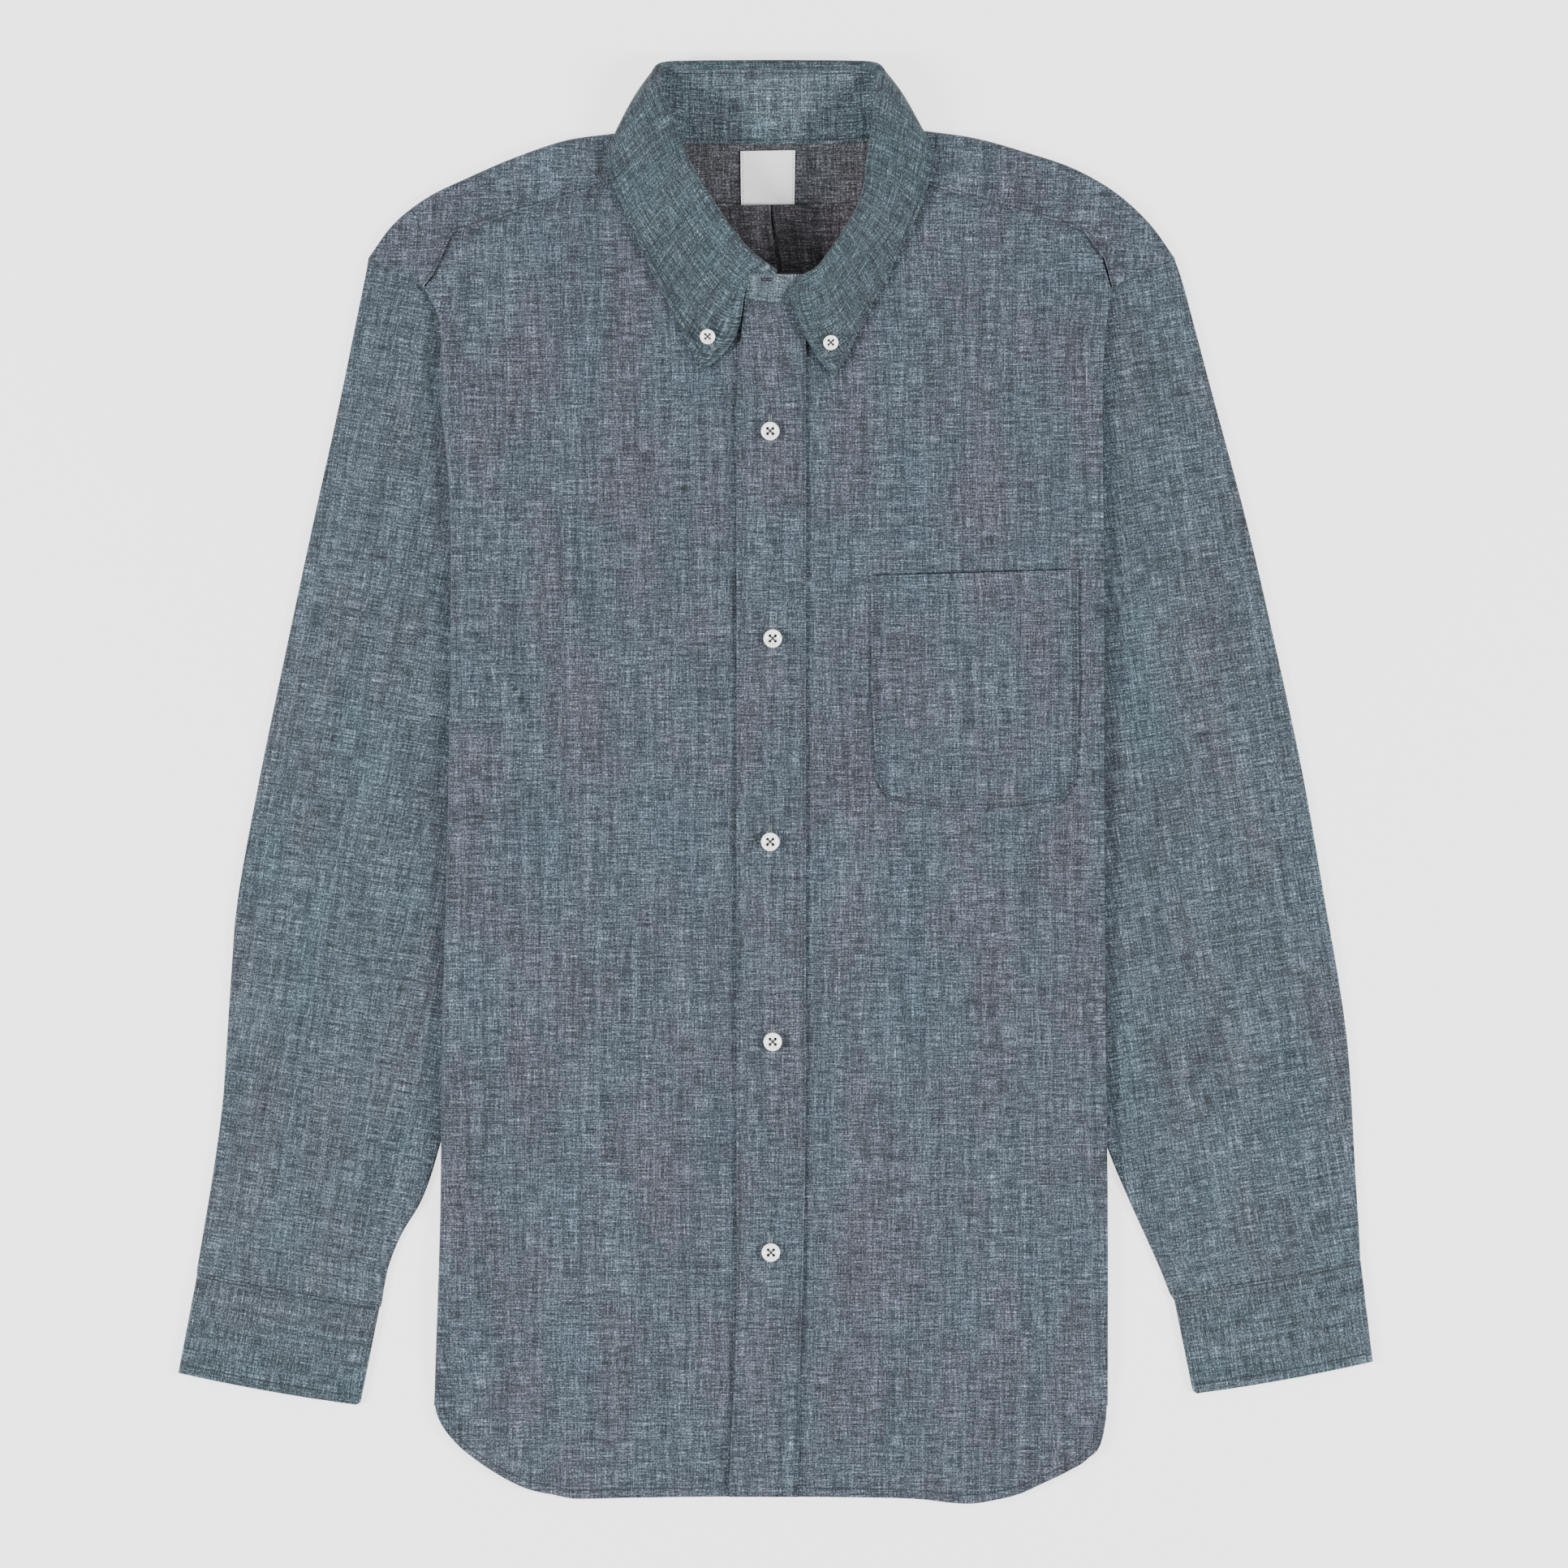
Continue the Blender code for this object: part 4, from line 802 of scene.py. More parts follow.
@dataclass(frozen=True)
class Shell:
    """White shell button, faintly clouded, with a soft gloss."""
    name: str = "button_shell"
    colour: Colour = (0.93, 0.925, 0.91)

    def material(self) -> bpy.types.Material:
        """The button's material."""
        shade = Shade(self.name)
        place = shade.node("ShaderNodeTexCoord", {}, {}, "Object")
        clouds = shade.node("ShaderNodeTexNoise", {}, {"Vector": place, "Scale": 420.0, "Detail": 3.0})
        bands = shade.node("ShaderNodeTexWave", {"wave_type": "RINGS"},
                           {"Vector": place, "Scale": 160.0, "Distortion": 6.0, "Detail": 2.0})
        tone = (clouds - 0.5) * 1.6 + (bands - 0.5) * 0.4
        colour = shade.tone(self.colour, 1.12 ** tone)
        return shade.finish(colour, clouds, 0.00002, 0.28, Coat_Weight=0.4, Coat_Roughness=0.15)


@dataclass(frozen=True)
class Thread:
    """Twisted cotton thread. A near-black copy paints the shade in needle holes; on the stand the dark
    and pale copies also paint a slit's shade and a lit edge's highlight.
    """
    name: str
    colour: Colour

    def material(self) -> bpy.types.Material:
        """The thread's material."""
        shade = Shade(self.name)
        place = shade.node("ShaderNodeTexCoord", {}, {}, "Object")
        ply = shade.node("ShaderNodeTexNoise", {}, {"Vector": place, "Scale": 2600.0, "Detail": 1.0})
        fade = shade.node("ShaderNodeTexNoise", {}, {"Vector": place, "Scale": 240.0, "Detail": 1.0})
        colour = shade.tone(self.colour, 1.9 ** ((ply - 0.5) * 2.0 + (fade - 0.5) * 1.6))
        return shade.finish(colour, ply, 0.00006, 0.75, Sheen_Weight=0.1)


@dataclass(frozen=True)
class Table:
    """Pale matt paper that the shirt lies on."""
    name: str = "pale_paper"
    colour: Colour = (0.50, 0.50, 0.50)

    def material(self) -> bpy.types.Material:
        """The paper's material."""
        shade = Shade(self.name)
        place = shade.node("ShaderNodeTexCoord", {}, {}, "Object")
        pulp = shade.node("ShaderNodeTexNoise", {}, {"Vector": place, "Scale": 900.0, "Detail": 2.0})
        colour = shade.tone(self.colour, 1.01 ** ((pulp - 0.5) * 2.0))
        return shade.finish(colour, pulp, 0.00001, 0.95, Specular_IOR_Level=0.1,
                            Emission_Strength=1.82)


class Finish:
    """The shirt's finishes, made once."""

    def __init__(self) -> None:
        """Make every material."""
        self.body = Chambray("chambray_body", (0.0372, 0.0470, 0.0598)).material()
        self.sleeve = Chambray("chambray_sleeve", (0.0360, 0.0483, 0.0596), drift=0.35).material()
        self.collar = Chambray("chambray_collar", (0.0270, 0.0400, 0.0478), drift=0.3).material()
        # The stand's cloth, made lighter than the collar's as painted light against the shade it gets
        # inside the collar
        self.stand = Chambray("chambray_stand", (0.0450, 0.0625, 0.0738), drift=0.4).material()
        self.cuff = Chambray("chambray_cuff", (0.0326, 0.0454, 0.0552), drift=0.3).material()
        # The inside's mauve-grey tone, lifted as painted light against the shade it gets inside the
        # neck
        self.inside = Chambray("chambray_inside", (0.0495, 0.0492, 0.0570), drift=0.4).material()
        self.label = LabelCloth().material()
        self.shell = Shell().material()
        self.seam_thread = Thread("seam_thread", (0.034, 0.044, 0.054)).material()
        # Near-black dots that paint the shade in the needle's holes
        self.needle_hole = Thread("needle_hole", (0.004, 0.006, 0.008)).material()
        # Pale thread of the buttonholes and the label; on the stand's top edge it also paints the
        # highlight of the lit edge
        self.pale_thread = Thread("pale_thread", (0.125, 0.150, 0.158)).material()
        # Dark thread of the buttons; on the stand's buttonhole it also paints the shade of the slit
        self.button_thread = Thread("button_thread", (0.010, 0.016, 0.019)).material()


def evaluated(part: bpy.types.Object) -> bpy.types.Mesh:
    """A part's mesh with its modifiers worked out."""
    graph = bpy.context.evaluated_depsgraph_get()
    return bpy.data.meshes.new_from_object(part.evaluated_get(graph))


def fixed(part: bpy.types.Object) -> bpy.types.Object:
    """Give a part its worked-out mesh and take its modifiers off."""
    mesh = evaluated(part)
    part.modifiers.clear()
    part.data = mesh
    mesh.name = part.name
    return part


def linked(name: str, mesh: bpy.types.Mesh, *materials: bpy.types.Material) -> bpy.types.Object:
    """A new object in the scene with a mesh and its materials."""
    part = bpy.data.objects.new(name, mesh)
    for material in materials:
        mesh.materials.append(material)
    bpy.context.scene.collection.objects.link(part)
    return part


def shell_of(name: str, grid: Grid, grain: Grid, wall: float, material: bpy.types.Material,
             closed: bool = False, left_out: Union[Grid, None] = None, inner_rows: int = 0,
             inner: Union[bpy.types.Material, None] = None) -> bpy.types.Object:
    """A cloth shell on a grid of points.

    Args:
        name: the piece's name.
        grid: rows by columns of points, in millimetres.
        grain: rows by columns of places on the flat cloth.
        wall: the cloth's thickness, in millimetres.
        material: its finish.
        closed: whether the last column is the first one again.
        left_out: cells of the grid that have no cloth.
        inner_rows: how many rows show the cloth's inner side.
        inner: the finish of the inner side.

    Returns:
        The piece, with its wall.
    """
    rows, columns = grid.shape[:2]
    kept = columns - 1 if closed else columns
    points = placed(grid[:, :kept]).reshape(-1, 3)
    i, j = np.meshgrid(np.arange(rows - 1), np.arange(columns - 1), indexing="ij")
    if left_out is not None:
        i, j = i[~left_out], j[~left_out]
    i, j = i.ravel(), j.ravel()
    corners = [(i, j), (i, j + 1), (i + 1, j + 1), (i + 1, j)]
    faces = np.stack([a * kept + b % kept for a, b in corners], axis=1)
    mesh = bpy.data.meshes.new(name)
    mesh.from_pydata(points.tolist(), [], faces.tolist())
    spots = np.stack([grain[a, b] for a, b in corners], axis=1).reshape(-1, 2)
    mesh.uv_layers.new(name=GRAIN).uv.foreach_set("vector", spots.astype(np.float32).ravel())
    piece = linked(name, mesh, material)
    if inner is not None:
        mesh.materials.append(inner)
        mesh.polygons.foreach_set("material_index", (i < inner_rows).astype(np.int32))
    solid = piece.modifiers.new("wall", "SOLIDIFY")
    solid.thickness = wall * MM
    solid.offset = 0.0
    fixed(piece)
    shape = bmesh.new()
    shape.from_mesh(piece.data)
    loose = [point for point in shape.verts if not point.link_faces]
    bmesh.ops.delete(shape, geom=loose, context="VERTS")
    shape.to_mesh(piece.data)
    shape.free()
    piece.data.shade_smooth()
    piece.data.set_sharp_from_angle(angle=math.radians(48.0))
    return piece


def area_of(grid: Grid, left_out: Union[Grid, None] = None) -> float:
    """Area of a grid's surface without the cells left out, in square metres."""
    points = grid * MM
    first = points[1:, 1:] - points[:-1, :-1]
    second = points[1:, :-1] - points[:-1, 1:]
    cells = np.linalg.norm(np.cross(first, second), axis=2) / 2
    return float(cells.sum() if left_out is None else cells[~left_out].sum())


@dataclass(frozen=True)
class Stitch:
    """A kind of stitch, in millimetres."""
    pitch: float = 1.55
    length: float = 1.05
    width: float = 0.42
    across: bool = False
    jitter: float = 0.05
    seed: int = 3

    def tree(self) -> bpy.types.GeometryNodeTree:
        """Nodes that lay stitches along every line of a mesh."""
        tree = bpy.data.node_groups.new("stitch_rows", "GeometryNodeTree")
        tree.is_modifier = True
        face = tree.interface
        face.new_socket("Geometry", in_out="INPUT", socket_type="NodeSocketGeometry")
        for name in ("Pitch", "Length", "Width", "Turn", "Jitter"):
            face.new_socket(name, in_out="INPUT", socket_type="NodeSocketFloat")
        face.new_socket("Seed", in_out="INPUT", socket_type="NodeSocketInt")
        face.new_socket("Material", in_out="INPUT", socket_type="NodeSocketMaterial")
        face.new_socket("Geometry", in_out="OUTPUT", socket_type="NodeSocketGeometry")

        def add(kind: str, values: dict, settings: Union[dict, None] = None) -> bpy.types.Node:
            """Add a node with its settings and its inputs."""
            made = tree.nodes.new(kind)
            for key, value in (settings or {}).items():
                setattr(made, key, value)
            for key, value in values.items():
                if isinstance(value, bpy.types.NodeSocket):
                    tree.links.new(value, made.inputs[key])
                else:
                    made.inputs[key].default_value = value
            return made

        given = add("NodeGroupInput", {}).outputs
        lines = add("GeometryNodeMeshToCurve", {"Mesh": given["Geometry"]})
        spots = add("GeometryNodeCurveToPoints", {"Curve": lines.outputs[0], "Length": given["Pitch"]},
                    {"mode": "LENGTH"})
        along = add("FunctionNodeAlignRotationToVector", {"Vector": spots.outputs["Tangent"]},
                    {"axis": "X"})
        level = add("FunctionNodeAlignRotationToVector",
                    {"Rotation": along.outputs[0], "Vector": (0.0, 0.0, 1.0)},
                    {"axis": "Z", "pivot_axis": "X"})
        spread = add("ShaderNodeMath", {0: given["Jitter"], 1: -1.0}, {"operation": "MULTIPLY"})
        wobble = add("FunctionNodeRandomValue", {"Min": spread.outputs[0], "Max": given["Jitter"],
                                                 "Seed": given["Seed"]}, {"data_type": "FLOAT"})
        value = next(out for out in wobble.outputs if out.enabled and out.type == "VALUE")
        turn = add("ShaderNodeMath", {0: value, 1: given["Turn"]}, {"operation": "ADD"})
        axis = add("FunctionNodeAxisAngleToRotation", {"Axis": (0.0, 0.0, 1.0),
                                                       "Angle": turn.outputs[0]})
        aim = add("FunctionNodeRotateRotation", {"Rotation": level.outputs[0],
                                                 "Rotate By": axis.outputs[0]},
                  {"rotation_space": "LOCAL"})
        bead = add("GeometryNodeMeshUVSphere", {"Segments": 6, "Rings": 3, "Radius": 0.5})
        size = add("ShaderNodeCombineXYZ", {"X": given["Length"], "Y": given["Width"],
                                            "Z": given["Width"]})
        each = add("GeometryNodeInstanceOnPoints",
                   {"Points": spots.outputs["Points"], "Instance": bead.outputs["Mesh"],
                    "Rotation": aim.outputs[0], "Scale": size.outputs[0]})
        real = add("GeometryNodeRealizeInstances", {"Geometry": each.outputs[0]})
        dressed = add("GeometryNodeSetMaterial", {"Geometry": real.outputs[0],
                                                  "Material": given["Material"]})
        add("NodeGroupOutput", {"Geometry": dressed.outputs[0]})
        return tree

    def sewn(self, name: str, lines: Sequence[Grid],
             material: bpy.types.Material) -> bpy.types.Object:
        """Stitches along lines of points.

        Args:
            name: the piece's name.
            lines: each line's points, in millimetres.
            material: the thread's finish.

        Returns:
            The stitches as one piece.
        """
        points, joins = [], []
        for line in lines:
            start = len(points)
            points += placed(line).tolist()
            joins += [(k, k + 1) for k in range(start, len(points) - 1)]
        mesh = bpy.data.meshes.new(name)
        mesh.from_pydata(points, joins, [])
        rows = linked(name, mesh)
        stitching = rows.modifiers.new("stitches", "NODES")
        stitching.node_group = self.tree()
        given = {"Pitch": self.pitch * MM, "Length": self.length * MM, "Width": self.width * MM,
                 "Turn": math.pi / 2 if self.across else 0.0, "Jitter": self.jitter,
                 "Seed": self.seed, "Material": material}
        for item in stitching.node_group.interface.items_tree:
            if item.in_out == "INPUT" and item.name in given:
                stitching[item.identifier] = given[item.name]
        fixed(rows)
        rows.data.materials.clear()
        rows.data.materials.append(material)
        rows.data.shade_smooth()
        return rows


def started(line: Grid, skip: float) -> Grid:
    """A line from a little way along it."""
    place = chord(line)
    at = np.linspace(skip, place[-1], len(line))
    return np.stack([np.interp(at, place, line[:, k]) for k in range(3)], axis=1)


TOPSTITCH = Stitch()
# Dots of painted shade for the needle's holes between stitches
HOLE_SHADE_DOT = Stitch(length=0.80, width=1.00)
EYELET = Stitch(pitch=0.46, length=1.15, width=0.40, across=True, jitter=0.12)


def worn(piece: bpy.types.Object, slot: str, *nodes: str) -> bpy.types.Object:
    """Make a piece ride with the shirt and stand for its solids."""
    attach(piece, BODY)
    if nodes:
        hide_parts(*nodes)
    triangles = sum(len(face.vertices) - 2 for face in piece.data.polygons)
    LOG.info("%s: %d triangles", piece.name, triangles)
    return piece


@dataclass
class Piece:
    """A cut piece of cloth: its cut in metres, the rest in millimetres."""
    finish: Finish
    name: str
    cut: tuple[float, float]
    rests_on: tuple[str, ...]
    wall: float = 0.55
    slot: str = "chambray"
    row_lift: float = 0.05

    def over(self) -> float:
        """Height of a row of stitches over the middle of the cloth."""
        return self.wall / 2 + self.row_lift

    def topstitch(self, lines: Sequence[Grid]) -> list[bpy.types.Object]:
        """Rows of fine stitches, and dark dots between them that paint the shade in the needle's holes.
        """
        late = [started(line, TOPSTITCH.pitch / 2) for line in lines]
        return [TOPSTITCH.sewn(self.name + "_stitching", lines, self.finish.seam_thread),
                HOLE_SHADE_DOT.sewn(self.name + "_needle_holes", late, self.finish.needle_hole)]

    def declare(self, piece: bpy.types.Object, grid: Grid, *sewn: bpy.types.Object,
                left_out: Union[Grid, None] = None) -> None:
        """Make the piece and its stitching ride with the shirt, hide the solid that it stands for, and
        work out its area, at most its cut.

        Args:
            piece: the finished cloth.
            grid: its middle surface, in millimetres.
            sewn: its stitching.
            left_out: cells of the grid that have no cloth.
        """
        worn(piece, self.slot, self.name)
        width, length = self.cut
        area = min(area_of(grid, left_out), width * length)
        for rows in sewn:
            worn(rows, self.slot)


@dataclass
class Front(Piece):
    """A front panel: its top layer, the fold at its side, and the part turned under."""
    side: Side = Side.RIGHT
    across: int = 112
    down: int = 300
    tuck: float = 6.0
    under_yoke: float = 1.2
    flare_from: float = 0.7
    hem_depth: float = 5.0

    def seam(self) -> Grid:
        """The yoke seam, from the neck out to the armhole."""
        return np.array([(wing.seam_out, wing.seam_y) for wing in WINGS[self.side]])

    def top_y(self, out: Grid) -> tuple[Grid, Grid]:
        """Top edge of the panel and of what shows of it, at distances out."""
        seam, neck = self.seam(), np.array(NECKLINE[self.side])
        corner = seam[0, 0]
        rim = np.concatenate([neck, seam[:1]])
        shown = np.where(out < corner, curve(rim[:, 0], rim[:, 1], out),
                         np.interp(out, seam[:, 0], seam[:, 1]))
        tucked = self.tuck * ease((out - corner) / 3.0) * ease((seam[-1, 0] - out) / 14.0)
        return shown + tucked, shown

    def plan(self, share: Grid, v: Grid) -> tuple[Grid, Grid]:
        """Plan position on the top layer: share out from the centre edge, v down to the hem."""
        first_out, last_out = NECKLINE[self.side][0][0], self.seam()[-1, 0]
        out = mix(first_out, last_out, share)
        top = self.top_y(out)[0]
        first_y, last_y = NECKLINE[self.side][0][1], self.seam()[-1, 1]
        low = BODY_FOLD[-1]
        fold_y = mix(last_y, low.y, v)
        inset = LIE.turn(fold_y) + self.wall / 2
        inner_top, inner_low = FRONT_INNER[self.side]
        flare = ease((v - self.flare_from) / (1.0 - self.flare_from))
        inner_out, inner_y = mix(inner_top, inner_low, flare), mix(first_y, HEM[0].right, v)
        fold_out = LIE.edge(self.side, fold_y) - inset
        foot_edge = float(LIE.edge(self.side, low.y))
        hem_out = mix(inner_low, foot_edge - inset, share)
        hem_y = through(HEM, self.side.value, hem_out / foot_edge, key="fraction")
        rise = top - mix(first_y, last_y, share)
        drop = hem_y - mix(HEM[0].right, low.y, share)
        spread = out - mix(first_out, last_out, share)
        line_y = mix(inner_y, fold_y, share)
        return mix(inner_out, fold_out, share) + spread * (1 - v), line_y + rise * (1 - v) + drop * v

    def height(self, out: Grid, y: Grid) -> Grid:
        """Height of the top layer, let down where it goes under the yoke."""
        x = self.side.sign * out
        below = self.top_y(out)[1] - y
        tucked = (1.0 - ease(below / 5.0)) * (out > self.seam()[0, 0])
        return LIE.top(x, y) - self.under_yoke * tucked

    def grid(self) -> Grid:
        """Points from the centre edge, round the side fold, to the side seam."""
        sign = self.side.sign
        shares = np.linspace(0.0, 1.0, self.across)[None, :]
        v = np.linspace(0.0, 1.0, self.down)[:, None]
        out, y = self.plan(shares, v)
        top = grid_of(sign * out, y, self.height(out, y))
        fold_y = mix(self.seam()[-1, 1], BODY_FOLD[-1].y, v)
        turn, edge = LIE.turn(fold_y), LIE.edge(self.side, fold_y)
        low, start = LIE.returned(self.side, edge - turn, fold_y), edge - turn - self.wall / 2
        angle = math.pi * np.linspace(0.0, 1.0, 8)[None, 1:-1]
        around = grid_of(sign * (start + turn * np.sin(angle)), fold_y,
                         low + turn + turn * np.cos(angle))
        steps = np.linspace(0.0, 1.0, 14)[None, :]
        under_y = fold_y + (SIDE_SEAM_FOOT.y - BODY_FOLD[-1].y) * ease(v) * ease(steps * 4)
        seam = armhole_points(self.side)[:0:-1]
        foot = (getattr(SIDE_SEAM_FOOT, self.side.value), SIDE_SEAM_FOOT.y)
        rows = np.array([foot, *seam])
        end = np.minimum(np.interp(under_y, rows[:, 1], rows[:, 0]), start - 4.0)
        under_out = mix(start, end, steps)
        under = grid_of(sign * under_out, under_y, LIE.returned(self.side, under_out, under_y))
        return np.concatenate([top, around, under], axis=1)

    def stitch_lines(self) -> list[Grid]:
        """The hem's row of stitches."""
        share = np.linspace(0.04, 0.995, 150)[None, :]
        out, y = self.plan(share, np.ones((1, 1)))
        y = y + self.hem_depth * (0.65 + 0.35 * (1 - share ** 6))
        out = out - self.hem_depth * 0.8 * ease((share - 0.9) / 0.1)
        z = self.height(out, y) + self.over()
        return [grid_of(self.side.sign * out, y, z)[0]]

    def build(self) -> None:
        """Make the panel and its hem's stitches."""
        grid = self.grid()
        grain = grain_plan(grid, shift=0.9 if self.side is Side.LEFT else 0.0)
        piece = shell_of(self.name + "_cloth", grid, grain, self.wall, self.finish.body)
        self.declare(piece, grid, *self.topstitch(self.stitch_lines()))


def armhole_points(side: Side) -> list[tuple[float, float]]:
    """The armhole seam in plan, from the shoulder point to the armpit."""
    return [(getattr(corner, side.value), corner.y) for corner in ARMHOLE]


@dataclass
class Yoke(Piece):
    """The yoke: on the surface at the back, over each shoulder, and down to the fronts."""
    step: float = 2.6
    seam_lift: float = 0.9
    end_share: float = 1.4
    neck_share: float = 0.78
    floor_points: int = 18
    inner_rows: int = 22
    seam_row: float = 1.5
    back_row: float = 1.6

    def wing(self, side: Side, out: Grid) -> dict[str, Grid]:
        """The yoke's sections, read at distances out along the shoulder fold."""
        rows = np.array(WINGS[side])
        names = Wing._fields
        fold = chord(rows[:, 2:4])
        read = curve(fold, rows, out, steady=False)
        for k in (0, 1):
            read[:, k] = np.interp(out, fold, rows[:, k])
        return {name: read[..., k] for k, name in enumerate(names)}

    def side_grid(self, side: Side) -> tuple[Grid, int]:
        """Points of one shoulder, by column out from the neck, and the neck's row."""
        rows = np.array(WINGS[side])
        length = chord(rows[:, 2:4])[-1]
        count = int(length / self.step)
        out = np.linspace(0.0, length, count)
        wing = self.wing(side, out)
        first, last = WINGS[side][0], WINGS[side][-1]
        span = (wing["fold_out"] - first.fold_out) / (last.fold_out - first.fold_out)
        knee = YOKE_KNEE[side]
        back = np.stack([mix(knee[0], last.seam_out, span), mix(knee[1], last.seam_y, span)], 1)
        fold = np.stack([wing["fold_out"], wing["fold_y"]], 1)
        seam = np.stack([wing["seam_out"], wing["seam_y"]], 1)
        lean = (seam - fold) / np.linalg.norm(seam - fold, axis=1, keepdims=True)
        turn = ((wing["rise"] - LIE.floor_layer) / 2)[:, None]
        start = fold + lean * (turn + self.wall / 2)
        shares = np.linspace(0.0, 1.0, self.floor_points)
        floor = back[:, None] + (start - back)[:, None] * shares[None, :, None]
        bent = curve((0.0, self.neck_share, 1.0),
                     np.array([back[0], BACK_NECK[side], start[0]]), shares)
        nearness = (1.0 - ease(out / 16.0))[:, None, None]
        floor = mix(floor, bent[None], nearness)
        floor = np.concatenate([floor, np.full(floor.shape[:2] + (1,), LIE.floor_layer)], axis=2)
        angle = math.pi * np.linspace(0.0, 1.0, 12)[None, 1:-1]
        around = start[:, None] - lean[:, None] * (turn * np.sin(angle))[..., None]
        lift = LIE.floor_layer + turn - turn * np.cos(angle)
        around = np.concatenate([around, lift[..., None]], axis=2)
        shares = np.linspace(0.0, 1.0, 26)
        over = start[:, None] + (seam - start)[:, None] * shares[None, :, None]
        x, y = side.sign * over[..., 0], over[..., 1]
        target = LIE.top(side.sign * seam[:, 0], seam[:, 1])
        near_end = ease((out - length + 14.0) / 14.0)
        target = mix(target, mix(LIE.sleeve_top, target, 0.5), near_end)[:, None]
        high = mix(wing["rise"][:, None], target, ease(shares)[None])
        folds = relief(YOKE_CREASES, x, y) * np.sin(math.pi * shares)[None]
        lift = self.seam_lift * ease((shares - 0.75) * 8)[None]
        end_lift = self.end_share * self.seam_lift * ease((out - length + 7.0) / 7.0)[:, None]
        over = np.concatenate([over, (high + folds + np.maximum(lift, end_lift))[..., None]], axis=2)
        grid = np.concatenate([floor, around, over], axis=1)
        grid[..., 0] *= side.sign
        return grid, round(self.neck_share * (self.floor_points - 1))

    def grid(self) -> tuple[Grid, Grid]:
        """Points of the whole yoke, and the cells at the neck that have no cloth."""
        right, neck_row = self.side_grid(Side.RIGHT)
        left, _ = self.side_grid(Side.LEFT)
        shares = np.linspace(0.0, 1.0, 40)[1:-1, None, None]
        middle = mix(right[:1], left[:1], shares)
        low = YOKE_KNEE[Side.RIGHT][1]
        rows = np.linspace(0.0, 1.0, neck_row + 1)
        straight_y = mix(low, BACK_NECK_Y, rows)[None]
        blend = ease(np.minimum(shares[..., 0], 1 - shares[..., 0]) * 8)
        middle[:, :neck_row + 1, 1] = mix(middle[:, :neck_row + 1, 1], straight_y, blend)
        grid = np.concatenate([right[::-1], middle, left], axis=0).transpose(1, 0, 2)
        cells = np.zeros((grid.shape[0] - 1, grid.shape[1] - 1), bool)
        cells[neck_row:, len(right) - 1:len(right) + len(middle)] = True
        return grid, cells

    def stitch_lines(self, grid: Grid, right: int, left: int) -> list[Grid]:
        """Rows beside the front seams and along the back seam."""
        lift = np.array([0.0, 0.0, self.over()])
        rows = []
        for columns in (slice(0, right), slice(grid.shape[1] - left, None)):
            seam, inner = grid[-1, columns], grid[-3, columns]
            away = (inner - seam) / np.linalg.norm(inner - seam, axis=1, keepdims=True)
            rows.append(seam + away * self.seam_row + lift)
        middle = slice(right, grid.shape[1] - left)
        rows.append(grid[0, middle] + np.array([0.0, self.back_row, self.over()]))
        return rows

    def build(self) -> None:
        """Make the yoke and its stitches."""
        grid, cells = self.grid()
        right, left = (len(self.side_grid(side)[0]) for side in Side)
        grain = grain_plan(grid, shift=2.1)
        piece = shell_of("yoke_cloth", grid, grain, self.wall, self.finish.body, left_out=cells,
                         inner_rows=self.inner_rows, inner=self.finish.inside)
        self.declare(piece, grid, *self.topstitch(self.stitch_lines(grid, right, left)),
                     left_out=cells)


